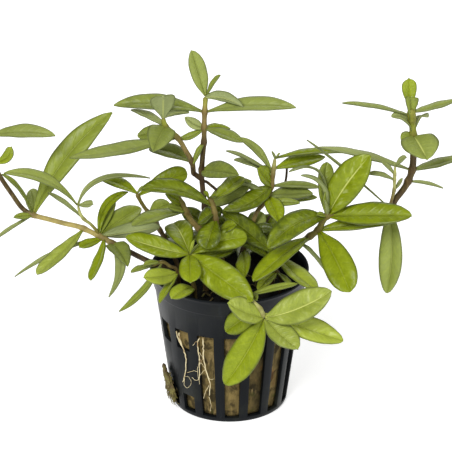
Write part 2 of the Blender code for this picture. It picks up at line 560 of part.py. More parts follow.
def build_roots(finish, tuft_finish):
    """Roots that show outside the wool, and the tuft that comes out of the pot's left side."""
    left = build_root("root_left", ROOT_LEFT, 0.45, finish)
    combine(left, build_root("root_left_side", ROOT_LEFT_SIDE, 0.35, finish), "UNION")
    build_root("root_middle", ROOT_MIDDLE, 0.4, finish)
    bm = bmesh.new()
    bmesh.ops.create_icosphere(bm, subdivisions=1, radius=1.0)
    for vertex in bm.verts:
        ball = vertex.co.copy()
        ripple = 1.0 + TUFT_RIPPLE * math.sin(5.0 * ball.x + 2.0) * math.cos(7.0 * ball.z)
        place = wall_point(TUFT_ANGLE + TUFT_HALF_ANGLE * ball.x * ripple,
                           TUFT_HEIGHT + TUFT_HALF_HEIGHT * ball.z * ripple, 0.0)
        outward = Vector((place.x, place.y, 0.0)).normalized()
        depth = TUFT_HALF_DEPTH * (1.0 + ball.y * ripple) + GAP
        vertex.co = (place + outward * depth) * MM
    face_outwards(bm)
    add_object("root_tuft", bm, tuft_finish)


def main():
    """Build the pot, what it holds, and the plant."""
    clear_scene()
    build_pot(material("pot_plastic", (0.02, 0.021, 0.024), 0.35))
    build_wool(material("wool", (0.16, 0.12, 0.06), 0.95))
    build_roots(material("root", (0.75, 0.66, 0.45), 0.6), material("root_tuft", (0.22, 0.2, 0.08), 0.9))
    stem_finish = material("stem", (0.16, 0.13, 0.05), 0.5)
    leaf_finish = material("leaf", (0.26, 0.34, 0.03), 0.4)
    stems = {stem.name: stem for stem in STEMS}
    for stem in STEMS:
        build_stem(stem, stem_finish)
    for leaf in LEAVES:
        build_leaf(leaf, stems[leaf.stem], leaf_finish)


if __name__ == "__main__":
    main()
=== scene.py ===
"""Looks of the potted dwarf hygrophila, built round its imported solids.

Run by Blender 4.5. The tables below are in millimetres, and MM turns them into metres.
The front of the plant is towards -Y, and up is +Z.
"""
import logging
import math
import random
from collections.abc import Callable, Iterable
from dataclasses import dataclass
from enum import Enum

import bpy
import numpy as np
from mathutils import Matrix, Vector


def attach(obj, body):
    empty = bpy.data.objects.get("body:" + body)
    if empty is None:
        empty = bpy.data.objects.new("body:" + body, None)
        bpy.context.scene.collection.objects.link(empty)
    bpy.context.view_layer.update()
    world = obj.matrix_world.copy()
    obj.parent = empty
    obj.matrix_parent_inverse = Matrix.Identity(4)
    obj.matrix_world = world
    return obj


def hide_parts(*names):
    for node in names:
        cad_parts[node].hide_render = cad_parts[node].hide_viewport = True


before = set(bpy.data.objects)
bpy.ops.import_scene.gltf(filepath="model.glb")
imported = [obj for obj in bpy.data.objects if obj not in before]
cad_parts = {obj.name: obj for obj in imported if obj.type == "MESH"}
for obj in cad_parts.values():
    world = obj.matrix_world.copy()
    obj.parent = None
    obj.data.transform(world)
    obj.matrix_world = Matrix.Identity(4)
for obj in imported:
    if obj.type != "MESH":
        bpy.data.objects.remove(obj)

log = logging.getLogger("potted_plant")

MM = 0.001
UP = Vector((0.0, 0.0, 1.0))
Point = tuple[float, float, float]
Colour = tuple[float, float, float, float]


def srgb(red: int, green: int, blue: int) -> Colour:
    """Linear colour of a colour that is given as it shows on a screen.

    Args:
        red: Red from 0 to 255.
        green: Green from 0 to 255.
        blue: Blue from 0 to 255.

    Returns:
        The linear colour with full opacity.
    """
    def linear(value: int) -> float:
        """One channel as linear light."""
        share = value / 255.0
        return share / 12.92 if share <= 0.04045 else ((share + 0.055) / 1.055) ** 2.4

    return (linear(red), linear(green), linear(blue), 1.0)


# Plans of the plant, in millimetres

@dataclass(frozen=True)
class Stem:
    """One stem: the points that it runs through and its radius at both ends.

    heel is the point inside the stem that carries it, for a side shoot.
    """

    name: str
    route: tuple
    base_radius: float
    tip_radius: float
    heel: tuple = ()


@dataclass(frozen=True)
class Leaf:
    """One leaf: where it leaves its stem, how far it reaches, and how its face is turned.

    node counts along the stem's route points. reach goes from the stem to the leaf's tip.
    lean turns the upper face towards the front, in degrees, and bow moves the blade's middle.
    """

    name: str
    stem: str
    node: float
    reach: tuple
    width: float
    lean: float = 0.0
    bow: tuple = (0.0, 0.0, 0.5)


def leaves_of(stem: str, *plans: tuple) -> tuple[Leaf, ...]:
    """Leaves of one stem, each given by its name and what follows the stem in its plan."""
    return tuple(Leaf(name, stem, *rest) for name, *rest in plans)


STEMS = (
    Stem("middle", ((-4, 4, 39.5), (-6.6, 4, 54.8), (-8.2, 3, 68.7), (-9.5, 3, 82.8),
         (-9.3, 2, 89.7), (-8.7, 1, 97.3), (-8.6, 0, 103), (-8.4, 0, 109), (-8.1, 0, 114.5)),
         1.05, 0.9),
    Stem("left_branch", ((-12.3, 2.2, 85), (-12.8, -0.8, 90.7), (-14.8, -2, 95.3),
         (-16.8, -2.5, 99.3), (-19.1, -3, 102.5), (-21.7, -3, 105.1), (-22.5, -3, 108.1)),
         0.95, 0.85, (-9.6, 3, 82.4)),
    Stem("knee", ((-2, -7, 39.5), (-2.9, -8, 62.7), (-4.3, -9, 70.8), (-5.6, -9, 78),
         (-7, -8, 80.5)), 0.95, 0.8),
    Stem("left_back", ((-15, 7, 39.5), (-20, 9, 51.6), (-24.1, 9, 60.1), (-27.5, 9, 66.2),
         (-29.2, 9, 68.5), (-30.9, 8, 72.1), (-31.9, 8, 74.7)), 0.9, 0.65),
    Stem("left_front", ((-8, 0, 39.5), (-8.8, -2, 59.5), (-10.1, -3, 65.7), (-12.8, -4, 69.7),
         (-14.9, -5, 74), (-16.2, -5, 76.7), (-18.2, -5, 80.8)), 1.15, 0.95),
    Stem("runner_left", ((-17, -2, 39.5), (-21.2, -2, 50.4), (-27.8, -1, 52.9), (-35, 0, 56.4),
         (-40.5, 0, 59.5), (-44.9, 1, 61.7), (-51.5, 2, 64.6), (-56.7, 3, 65.5), (-61.8, 4, 66.5),
         (-67.7, 5, 67.8), (-71.5, 6, 70), (-74.9, 7, 74.8), (-77.3, 8, 78.2), (-78.9, 8, 81.2),
         (-81.2, 8, 86.2), (-82.1, 7, 91.9), (-82.4, 6, 97.3)), 1.0, 0.8),
    Stem("shoot_left", ((-45.8, 1, 63.9), (-47.8, 0, 66.8), (-50, -1, 69.2), (-51.3, -1, 71.6),
         (-51.9, -1, 74.5)), 0.6, 0.5, (-44.9, 1, 61.9)),
    Stem("rosette", ((-11, -14, 39.5), (-12.8, -14, 54.2), (-13.5, -13, 59.4), (-13.5, -13, 61.6)),
         0.85, 0.8),
    Stem("low_left", ((-17, -9, 39.5), (-17.6, -13, 54.5), (-20.3, -15, 58.1), (-23, -16, 60.2),
         (-26.4, -17, 59.1)), 0.7, 0.5),
    Stem("low_right", ((17, -6, 39.5), (17.7, -8, 49.3), (16.3, -9, 52.8), (14.6, -9, 55.1)),
         0.7, 0.6),
    Stem("right_inner", ((4, 4, 39.5), (3.6, 2, 51.2), (4.7, 1, 56.3), (7.1, 2, 62.7),
         (9.1, 3, 69.1), (11.2, 4, 72.1), (13.2, 5, 75), (14.6, 6, 78.4), (14.9, 6, 82.5),
         (15.6, 7, 88.5)), 0.85, 0.7),
    Stem("front_shoot", ((8, -14, 39.5), (6, -20, 47.4), (5, -25, 52.7), (7.6, -28.6, 51.7),
         (10.3, -29.9, 49.3), (11.7, -31, 46.5)), 0.85, 0.8),
    Stem("runner_right", ((15, 1, 39.5), (14, -2, 53.2), (16, -3, 56.4), (20.1, -4, 59.2),
         (24.2, -5, 62), (27.6, -5, 64.6), (30.3, -5, 66.9), (33.3, -5, 72.2), (39.5, -3, 72.8),
         (47.5, 0, 71.7), (54.8, 2, 72.3), (57.3, 3, 75.2), (60.5, 4, 79.5), (62.5, 4, 85.4),
         (62.8, 4, 92.2), (62.5, 3, 99), (62, 3, 104.6), (61.5, 2, 109.1)), 1.05, 1.25),
    Stem("shoot_right", ((55.3, 0.6, 74.4), (56.3, 0, 79.7), (56.3, -1, 84), (56.4, -1, 89.2)),
         0.6, 0.5, (54.8, 2, 72.5)),
)

# Thin dead twigs between the stems
TWIGS = (
    Stem("twig_middle", ((-7.8, 4.6, 80.6), (-4.6, 6, 77), (-1.6, 6.6, 73.2), (1.6, 7, 69.4)),
         0.55, 0.5, (-9.4, 3.2, 81.8)),
    Stem("twig_right", ((7.5, 4, 58), (12.5, 9, 63), (17.2, 13, 69.5), (19.5, 15, 76.5),
         (19.9, 15, 84.7)), 0.5, 0.42, (4.9, 1.2, 56.6)),
)

# Large leaves, each a piece of its own
LEAVES = (
    *leaves_of("middle",
        ("middle_top", 8, (-4.7, 0, 17), 6, 65),
        ("middle_right", 7, (30.7, -7.5, 5), 7, 20, (0, 0, 1.8)),
        ("middle_left", 7, (-30.8, 0.6, 2.2), 7.5, 20, (0, 0, 2)),
        ("middle_low", 3.4, (12.4, -12.6, 4.7), 7.4, 35)),
    *leaves_of("left_branch",
        ("branch_front", 5, (-3.8, -14.4, -2.7), 9.2, 15),
        ("branch_long", 3.4, (-36.4, -5.6, -4.8), 7.5, 10, (0, -0.4, -0.5))),
    *leaves_of("knee",
        ("knee_long", 3, (-24, -5.4, 8.9), 7.8, 20, (0, -0.7, 3.5)),
        ("knee_right", 3.5, (10.4, 12.6, 3.7), 7.3, -5, (0.3, 0, -0.4)),
        ("knee_front", 2.3, (-3.3, -8.5, -7.1), 8.4, 0, (0, 0, 0.9))),
    *leaves_of("left_front",
        ("left_front_long", 4, (-18.2, -10.5, -0.2), 7, 5, (0, 0, 1))),
    *leaves_of("runner_left",
        ("runner_long", 9, (27.3, 15, 32), 9.5, 30, (-2.3, 0, 2.2)),
        ("runner_outer", 5.8, (-15.6, -16, -9.4), 7, -5, (1.2, 0, 0.4)),
        ("runner_drooping", 4, (5.8, -13.7, -2), 7.5, 0, (0, 0, 1.5)),
        ("runner_upper", 5, (14, 13.7, 4.3), 8, 15, (0, 0, 0.6)),
        ("runner_inner", 5, (21, -1.5, 4.6), 7, -70, (0, 0, -0.2))),
    *leaves_of("shoot_left",
        ("shoot_left_long", 4, (-24.7, -4.9, 14.4), 5.6, 20, (1.5, 0, 3.6))),
    *leaves_of("rosette",
        ("rosette_left", 3, (-21.5, -7.6, 10.2), 8.8, 30, (0, 0, -0.6)),
        ("rosette_back", 3, (-5.6, 16, 4.1), 9.2, 10, (0, 0, 1.2)),
        ("rosette_front", 3, (0.3, -14.6, -3.3), 7.8, -5, (0, 0, 1.2)),
        ("rosette_right", 3, (19.5, 1.6, 5.6), 7.4, 55, (0, 0, 1.6)),
        ("rosette_long", 3, (21.2, -18.2, -8.6), 11, 40, (-0.6, 0, 0.4))),
    *leaves_of("low_left",
        ("low_left_side", 1, (-11.4, -9.6, 3.3), 6.6, 40, (0, -0.8, -0.3))),
    *leaves_of("front_shoot",
        ("front_left", 5, (-12.2, -5.7, 8.6), 9.4, 40, (0, 0, -0.6)),
        ("front_right", 5, (22.4, -4.3, 12.4), 11, 50, (0, 0, -1.6)),
        ("front_right_low", 5, (11.3, -11, -6), 9, 15, (0, 0, -0.4)),
        ("front_hanging", 5, (-13.3, -1, -25), 10.8, 60, (0.9, -0.6, 0)),
        ("front_hanging_back", 4, (-11.6, 3.4, -10.4), 8, 76),
        ("front_far_right", 4.6, (27.5, 2, -11), 9, 40, (0, -0.8, 0.5))),
    *leaves_of("right_inner",
        ("right_inner_top", 8.1, (-12, 0.8, 13.2), 4.2, 20, (0.9, 0.3, 1.3)),
        ("right_inner_side", 7, (-16.8, -9.9, -4.4), 8.0, 14, (0, 0, -2.1)),
        ("right_inner_back", 8.4, (17.9, 9.6, -0.1), 6.2, 20)),
    *leaves_of("runner_right",
        ("right_first_up", 2, (-18.6, 3, 15.3), 8.0, 42, (-0.3, 0, 0.5)),
        ("right_first_down", 2, (13.8, -16.3, -5.2), 7.5, 0, (0, 0, -0.6)),
        ("right_second", 5, (-19.6, -18.3, -8), 8.5, 0, (0, 0, 1)),
        ("right_tall", 7, (14.3, 0, 22.9), 11.3, 60, (-1, 0, 0)),
        ("right_wide", 7, (28.4, -8.7, 4.4), 9.5, 30, (0, 0, 0.4)),
        ("right_drooping", 6, (10.4, -23, -12), 10.5, 25, (0, -1, 2.2)),
        ("right_inward", 7, (-20.3, -15.6, -4.5), 8.6, 30, (0, 0, 3.6)),
        ("right_hanging", 10, (-0.6, -7.4, -29.4), 8.8, -25, (1.4, 0, 0)),
        ("right_round", 15, (4.4, -12.5, -3.3), 13, 5, (-0.6, 0, 1.4)),
        ("right_crossing", 13, (-32.4, -2.9, 10), 6.4, 0, (0, 0, 0.8))),
)

# Small leaves, grown together with their stems
SMALL_LEAVES = (
    *leaves_of("middle",
        ("tip_right", 8, (4.9, 0.5, 7.9), 3, 10, (0, 0, 1)),
        ("tip_front", 8, (12.6, -6, -0.6), 5, -70, (0, 0, 1.5)),
        ("upper_left", 6, (-6.5, 2, 3.1), 3.8, 40, (0, 0, -0.6)),
        ("upper_right", 6, (8.9, 5.8, -2.8), 4, 10, (0, 0, 0.4)),
        ("upper_front", 6, (12.9, -9.6, -0.8), 5.2, 10, (0, 0, 0.4)),
        ("middle_side", 6, (-8.4, 0, -3.9), 3.4, 20, (0, 0, -0.9)),
        ("lower_bud", 5, (-3.7, -3.2, -6.8), 3, -10),
        ("back", 1, (-4, 20, -4), 8, 0, (0, 0, 2))),
    *leaves_of("left_branch",
        ("outer", 5, (-9.6, 4, -5.4), 5.2, 50, (0, 0.6, -1)),
        ("under", 1, (-14.8, 8.3, 1), 7, 15, (0, 0, 1.4)),
        ("upper", 5, (-11.8, 6.9, 3), 5, -5, (0, 0, 0.7)),
        ("tip_front", 6, (0.2, -6.7, 11.1), 8.6, 5, (0, 1, 0)),
        ("tip_right", 6, (8.7, 4.9, -0.2), 4, -65, (0, 0, 1.2))),
    *leaves_of("left_back",
        ("tip", 6, (-12.3, 8.5, 1.3), 5, 15, (0, 0, 1)),
        ("tip_right", 6, (3.1, 1, 2.2), 1.4, 20),
        ("dark", 5.6, (17, 2.6, 7.2), 6.5, 50, (1, 0, 1.9)),
        ("side", 3, (7, 0, 3.8), 6, 60),
        ("back_low", 1, (-6, 19, -6), 8, 0, (0, 0, 2)),
        ("back_high", 2, (-10, 16, -4), 7, 0, (0, 0, 1.5))),
    *leaves_of("left_front",
        ("tip", 5, (-5.3, -5.5, 6.4), 5, 60),
        ("side", 4, (-6, -5.3, 4.1), 4, 35),
        ("back", 1, (-9, 16, -4), 7, 0, (0, 0, 2))),
    *leaves_of("runner_left",
        ("bend_up", 9, (-1.5, 11.1, 4.3), 5.5, 30, (0.6, 0, 1)),
        ("bend_left", 9, (-6.3, -5, 1.6), 2.8, 30, (0, 0, 0)),
        ("bend_low", 9, (-14.6, -6, -7.6), 2.2, 0),
        ("bend_narrow", 9, (-10.2, -0.8, 16), 4, 5, (0.9, 0, 1.5)),
        ("outer_thin", 4.7, (-31.3, 6.5, -18.1), 2.8, 15, (0, 0, 2.4)),
        ("outer_stub", 4.7, (-8, -5.6, -0.6), 4, 20, (0, 0, 0)),
        ("hanging", 4.7, (-4.0, -14.3, -9.0), 6, -40, (1.2, 0, 1)),
        ("drooping", 3.7, (-2.4, -18.5, -10.4), 4.4, -30, (2.8, 0, 0.2)),
        ("upright", 5, (9.8, 14.3, 10), 3.4, 25, (-2.6, 0, 2.8)),
        ("upright_short", 5, (5.2, 13.2, 7.4), 3.6, 0, (0, 0, 0.6)),
        ("top_front", 16, (23.2, -5.6, 2.7), 6.5, 20, (0, 0, 1.5)),
        ("top_low", 14, (6.4, -0.6, 6.3), 4.5, 45, (1.6, 0, -1))),
    *leaves_of("shoot_left",
        ("narrow", 2, (-12.3, 4, 8.2), 3, -5, (0, 0, 0.8)),
        ("far", 4, (24.6, 10, 5.6), 3, 5, (-4.5, 2, 3.6)),
        ("right", 4, (5.2, -2, 1.4), 3.4, 20, (0, 0, 0))),
    *leaves_of("low_left",
        ("tip", 3.2, (-5.4, -4.6, 1.4), 3, 10),
        ("end", 4, (-7.1, -3.7, -0.4), 3, 5),
        ("thin", 3, (-14.9, 0, -18.9), 4, 20, (1.3, 0, -1.2)),
        ("over_rim", 1, (-6.2, -11.6, -5.5), 5, -30)),
    *leaves_of("rosette",
        ("over_rim", 0.6, (-7.7, -11.5, 2.9), 6, 20, (1, -0.6, 1.8))),
    *leaves_of("low_right",
        ("left", 2, (-6.6, -9.8, -1.9), 5, -5),
        ("right", 2, (5, -7.1, -2.2), 3.4, -20)),
    *leaves_of("right_inner",
        ("top_thin", 8, (-16, -1.5, 10), 4.4, -5, (0, 0, 1)),
        ("top_low", 8, (-13.4, 0, 5.9), 5.2, 0, (0, 0, 1)),
        ("upper_front", 7, (-4.9, -4.7, 8.7), 6.5, 70),
        ("dark", 6, (4, -10.9, -4.8), 6.5, 0, (0, 0, 1)),
        ("tip", 9, (26, 10, -2.4), 5, 0, (0, 0, 1.2)),
        ("far_upper", 7, (16.8, 9.7, -5), 4.2, 15),
        ("far_lower", 6, (15.6, 6.4, -1.9), 6.5, 20),
        ("inner_bud", 6, (-10, 3, 3.6), 4, -60),
        ("low_front", 2, (0.6, -14.7, -3), 6.5, 40),
        ("back", 1, (5, 20, -3), 7.5, 0, (0, 0, 2))),
    *leaves_of("runner_right",
        ("tall", 7, (0, 7.8, 16.7), 6.5, 35, (-0.8, 0, 0)),
        ("tall_short", 7, (-0.4, 0.4, 9.3), 4, 5),
        ("long", 6, (28.6, -1.5, 4.8), 7.6, 15, (0, 0, 0.5)),
        ("hanging", 4, (8.4, -9.8, -5.4), 4, -65, (0, 0, 1)),
        ("curled_high", 7, (-13, 6, 14), 3.4, -30, (4, 0, 8)),
        ("curled_low", 7, (-9, 1.7, 14.7), 3.4, -45, (3, 0, 3.4)),
        ("tip", 17, (-0.7, 4.0, 9.5), 5.2, 0, (-0.2, 1.2, 0)),
        ("cup_front", 16, (-0.6, 0.6, 8.2), 6.8, 0, (0, -1.2, 0)),
        ("top_left", 16.4, (-23.3, 8.8, 0.9), 5, -10, (0, 0, 0.6)),
        ("top_right", 16.7, (16.3, 7.5, 1.6), 5.5, -5, (0, 0, -0.5)),
        ("upper_left", 15, (-7.6, 0.1, 6.9), 5.0, 10, (0.9, 0, 2.7)),
        ("upper_right", 15, (5.3, 5.9, 4.2), 5.0, -30, (-0.7, 0, 2.9)),
        ("side", 13, (17.5, 7.2, 1.9), 6, 0, (0, 0, -0.4)),
        ("side_low", 12.3, (12.3, 0.7, -3), 2.6, 0, (0, 0, 0.6)),
        ("crossing_thin", 10, (-28.4, 0.1, 25.4), 3, -10, (0, 0, 0.6)),
        ("back", 1, (10, 19, -2), 8, 0, (0, 0, 2))),
    *leaves_of("shoot_right",
        ("left", 2, (-9.5, -1.3, 2.9), 4, 0, (0, 0, 0.8)),
        ("tip", 3, (3.6, -2.1, 4.4), 3, 35)),
)


class Tone(Enum):
    """Look of a leaf's upper face: how light it is, and how much grey bloom lies on it. SHADED and
    DARK partly paint the shade on leaves deep in the plant and behind others; SILVERY partly paints
    a whitish sheen.
    """

    SHADED = (0.1, 0.1)
    DARK = (0.25, 0.0)
    DEEP_GREEN = (0.44, 0.0)
    MUTED = (0.34, 0.35)
    VEILED = (0.44, 0.5)
    FRESH = (0.58, 0.0)
    PLAIN = (0.54, 0.3)
    DUSTY = (0.54, 0.55)
    GREY = (0.66, 1.0)
    LIGHT = (0.74, 0.1)
    SILVERY = (0.84, 0.42)
    PALE = (1.02, 0.3)


class Form(Enum):
    """Outline of a blade: places from its foot to its tip, and shares of its full width there."""

    ELLIPTIC = ((0.0, 0.14), (0.07, 0.3), (0.18, 0.6), (0.32, 0.86), (0.48, 0.99), (0.6, 1.0),
                (0.74, 0.92), (0.86, 0.7), (0.94, 0.45), (0.98, 0.27), (1.0, 0.08))
    BLUNT = ((0.0, 0.13), (0.08, 0.24), (0.2, 0.47), (0.35, 0.74), (0.5, 0.91), (0.65, 1.0),
             (0.78, 0.98), (0.88, 0.84), (0.95, 0.6), (0.985, 0.36), (1.0, 0.12))
    LANCE = ((0.0, 0.11), (0.1, 0.32), (0.25, 0.68), (0.42, 0.95), (0.55, 1.0), (0.7, 0.9),
             (0.84, 0.63), (0.94, 0.34), (1.0, 0.05))
    HEART = ((0.0, 0.16), (0.06, 0.52), (0.16, 0.88), (0.3, 1.0), (0.46, 0.98), (0.64, 0.82),
             (0.8, 0.58), (0.92, 0.32), (1.0, 0.06))
    HALF_GROWN = ((0.0, 0.15), (0.12, 0.4), (0.28, 0.76), (0.5, 1.0), (0.68, 0.96), (0.82, 0.76),
                  (0.93, 0.46), (1.0, 0.08))
    WEDGE = ((0.0, 0.36), (0.3, 0.42), (0.55, 0.62), (0.8, 0.88), (0.93, 1.0), (1.0, 0.9))
    BUDDING = ((0.0, 0.2), (0.18, 0.6), (0.38, 0.94), (0.58, 1.0), (0.76, 0.84), (0.9, 0.54),
               (0.97, 0.3), (1.0, 0.1))


# Large leaves by name; small ones as stem.name
LEAF_TONES = {
    Tone.SHADED: ("left_front.dark", "middle.back", "left_back.back_low", "left_back.back_high",
        "left_front.back", "right_inner.back", "runner_right.back", "middle.inside_low",
        "right_inner.deep", "right_inner.between"),
    Tone.DARK: ("right_first_up", "rosette.under", "right_inner.inside_up", "right_inward",
        "knee_front", "knee_long", "right_inner_side", "middle.inside_left", "middle.inside_right",
        "left_front.inside", "left_back.inside_low", "runner_right.pot_side", "runner_right.behind",
        "knee.shade"),
    Tone.DEEP_GREEN: ("rosette_back", "right_tall", "right_wide", "rosette_right",
        "front_hanging_back", "knee.low", "right_inner.back_right", "left_front.tip",
        "right_inner.upper_front", "right_inner.tip", "left_back.dark", "knee.bud",
        "knee.bud_left"),
    Tone.VEILED: ("branch_front", "right_inner.far_lower"),
    Tone.MUTED: ("middle_left", "middle_low", "left_front_long", "runner_drooping",
        "left_branch.outer", "middle.upper_front", "middle.grey", "left_branch.under"),
    Tone.FRESH: ("right_inner_back", "knee_right", "left_back.tip", "right_drooping",
        "rosette_front", "right_second", "rosette_long", "rosette_left", "front_hanging",
        "right_inner.dark", "runner_left.upright", "runner_left.hanging", "runner_left.outer_stub",
        "middle.upper_right", "runner_right.long", "right_inner.low_front"),
    Tone.DUSTY: ("middle_right", "middle_top", "branch_long", "right_inner_top",
        "right_inner.far_upper", "runner_left.top_front", "shoot_left_long", "right_hanging",
        "right_round", "runner_right.top_left", "runner_right.top_right", "runner_right.side",
        "runner_left.bend_up", "right_inner.inside_mid"),
    Tone.GREY: ("right_crossing", "left_branch.tip_front", "middle.upper_left", "shoot_left.narrow",
        "shoot_left.right", "shoot_right.tip", "shoot_right.shoot_low", "shoot_right.shoot_thin",
        "middle.tip_front", "runner_inner", "left_branch.upper", "left_branch.tip_right",
        "right_inner.top_thin", "right_inner.top_low", "shoot_left.far", "runner_right.side_low",
        "runner_right.crossing_thin", "runner_right.curled_high", "runner_right.curled_low",
        "runner_right.upper_left", "runner_right.upper_right", "runner_left.outer_thin",
        "runner_left.bend_low", "runner_left.drooping", "shoot_right.left"),
    Tone.LIGHT: ("low_right.left", "runner_right.tip", "rosette.over_rim", "low_left.over_rim",
        "runner_left.top_low"),
    Tone.SILVERY: ("front_left", "front_right", "front_right_low", "runner_outer"),
    Tone.PALE: ("right_inner.bud_left", "right_inner.bud_right", "front_far_right",
        "rosette.bud_right", "rosette.bud_left", "low_left_side", "right_first_down",
        "runner_right.node_front"),
}
LEAF_FORMS = {
    Form.BLUNT: ("right_drooping", "runner_outer", "knee_front", "knee_right",
        "left_branch.tip_front", "rosette_front", "rosette_right", "runner_left.hanging",
        "rosette_back", "left_back.dark", "runner_left.outer_stub", "runner_left.top_low",
        "rosette.over_rim", "runner_right.tip", "shoot_left.right", "runner_right.tall"),
    Form.LANCE: ("middle_left", "middle_right", "branch_long", "shoot_left_long", "runner_long",
        "right_crossing", "right_first_up", "runner_left.top_front", "low_left.thin",
        "runner_left.outer_thin", "shoot_left.far", "right_inner_top", "right_inner_back"),
    Form.HEART: ("branch_front", "runner_drooping", "middle_low", "right_inner_side",
        "runner_left.drooping"),
    Form.WEDGE: ("runner_right.cup_front",),
}
# Leaves whose midrib shows as a clear pale line, partly its own paler colour and partly a painted
# highlight along it
RIBBED = ("rosette_left", "right_tall", "front_right", "right_round", "rosette_back")
# Leaves with painted sheen: streaks of painted highlight between their side veins, beside lanes of
# painted shade
PAINTED_SHEEN_LEAVES = ("rosette_left", "rosette_long", "rosette_back", "right_tall", "front_right", "front_left",
         "front_right_low", "front_far_right", "runner_outer", "knee_right", "low_right.left")

# Small leaves in the thick of the plant
INNER_LEAVES = (
    *leaves_of("knee",
        ("shade", 2.6, (-5.6, 1.0, -4.4), 7.5, 20, (0, 0, 0.8)),
        ("low", 1.5, (5.8, -1.5, 4.6), 5.0, 30, (0, 0, 0.6)),
        ("bud", 4, (2.4, -1.4, 1.6), 2.2, 10, (0, 0, 0.5)),
        ("bud_left", 4, (-1.8, 0.6, 2.0), 2.0, 10, (0, 0, 0.5))),
    *leaves_of("middle",
        ("grey", 2.2, (16.0, 5.5, 7.6), 8.0, 35, (0, 0, 0.2)),
        ("inside_left", 1.6, (-9.0, 5.0, 5.0), 6, 30, (0, 0, 0.8)),
        ("inside_low", 0.8, (8.5, -1.0, 4.0), 6, 30, (0, 0, 0.6)),
        ("inside_right", 1.5, (9.0, 6.0, 2.0), 6, 25, (0, 0, 0.8))),
    *leaves_of("rosette",
        ("under", 2.6, (14.8, 4.0, 0.5), 4.2, 35, (0, 0, -0.6)),
        ("bud_right", 3, (3.5, -2.0, 5.7), 1.6, 0, (0, 0, 0.4)),
        ("bud_left", 3, (1.4, 1.0, 4.9), 1.6, 0, (0, 0, 0.4))),
    *leaves_of("runner_right",
        ("node_front", 7, (-0.6, -2.6, 7.4), 2.8, 40, (0, 0, 0)),
        ("node_low", 7, (-3.4, -3.4, 2.2), 2.4, 30, (0, 0, 0.3)),
        ("collar_left", 15, (-3.9, -3.0, -1.2), 4.4, 20, (0, 0, 0.8)),
        ("pot_side", 1.2, (-9.8, -3.8, 7.8), 4.6, 20, (0, 0, 0.8)),
        ("behind", 1.6, (-6.0, 12.0, 6.5), 6, 20, (0, 0, 0.8))),
    *leaves_of("shoot_right",
        ("shoot_low", 1, (2.6, 0.6, 4.2), 1.6, 20, (0.4, 0, 0.4)),
        ("shoot_thin", 2.4, (-4.6, 0.6, 4.6), 2.0, 20, (0, 0, 0.6))),
    *leaves_of("right_inner",
        ("between", 3, (8.0, -1.0, 1.6), 4.2, 30, (0, 0, 0.8)),
        ("bud_left", 9, (-0.9, -0.8, 3.0), 1.9, 10, (0, 0, 0)),
        ("bud_right", 9, (1.5, -0.6, 2.2), 1.6, 10, (0, 0, 0)),
        ("deep", 2.6, (-8.0, 6.0, 4.0), 6, 25, (0, 0, 0.8)),
        ("crossing", 5, (13.0, -1.6, 1.6), 3.6, 30, (0, 0, 0.6)),
        ("inside_mid", 3, (4.4, 6.0, 4.6), 6.4, 30, (0, 0, 0.5)),
        ("inside_up", 2.2, (10.8, 10.8, 6.4), 7.5, 25, (0, 0, 0.8)),
        ("back_right", 5, (19.2, 10.0, -1.8), 5.0, 20, (0, 0, 1.0))),
    *leaves_of("left_front",
        ("dark", 1.4, (-4.5, -5.6, 2.2), 4.5, 0, (0, 0, 0.6)),
        ("inside", 2.2, (8.0, 6.0, 5.0), 6, 25, (0, 0, 0.8))),
    *leaves_of("left_back",
        ("inside_low", 1.6, (10.0, 3.0, 4.0), 6, 25, (0, 0, 0.8))),
    *leaves_of("front_shoot",
        ("over_rim", 1.2, (3.4, -6.2, 3.0), 4.4, 20, (0, 0, 0.6)),
        ("along_rim", 1.4, (17.6, 4.0, 3.4), 3.0, 20, (0, 0, 0.6))),
)


# Materials

class Value:
    """A number that varies over a surface. Arithmetic on it adds the Math nodes."""

    def __init__(self, sheet: "Sheet", socket: bpy.types.NodeSocket) -> None:
        """Wrap a socket of a sheet's node tree."""
        self.sheet = sheet
        self.socket = socket

    def reckon(self, operation: str, *terms: "Value | float") -> "Value":
        """Add one Math node.

        Args:
            operation: Name of the Math node's operation.
            terms: What its inputs get, in order.

        Returns:
            The node's result.
        """
        inputs = dict(enumerate(terms))
        return self.sheet.value("ShaderNodeMath", {"operation": operation}, inputs)

    def __add__(self, other: "Value | float") -> "Value":
        """Sum."""
        return self.reckon("ADD", self, other)

    def __radd__(self, other: float) -> "Value":
        """Sum with a number on the left."""
        return self.reckon("ADD", other, self)

    def __sub__(self, other: "Value | float") -> "Value":
        """Difference."""
        return self.reckon("SUBTRACT", self, other)

    def __rsub__(self, other: float) -> "Value":
        """Difference from a number on the left."""
        return self.reckon("SUBTRACT", other, self)

    def __mul__(self, other: "Value | float") -> "Value":
        """Product."""
        return self.reckon("MULTIPLY", self, other)

    def __rmul__(self, other: float) -> "Value":
        """Product with a number on the left."""
        return self.reckon("MULTIPLY", other, self)

    def __abs__(self) -> "Value":
        """Size without its sign."""
        return self.reckon("ABSOLUTE", self)

    def fraction(self) -> "Value":
        """What is left after the whole number."""
        return self.reckon("FRACT", self)

    def step(self, low: float, high: float) -> "Value":
        """Smooth rise from 0 at low to 1 at high.

        Args:
            low: Where the rise starts.
            high: Where it ends.

        Returns:
            The rise, held between 0 and 1.
        """
        settings = {"interpolation_type": "SMOOTHSTEP"}
        inputs = {"Value": self, "From Min": low, "From Max": high}
        return self.sheet.value("ShaderNodeMapRange", settings, inputs)


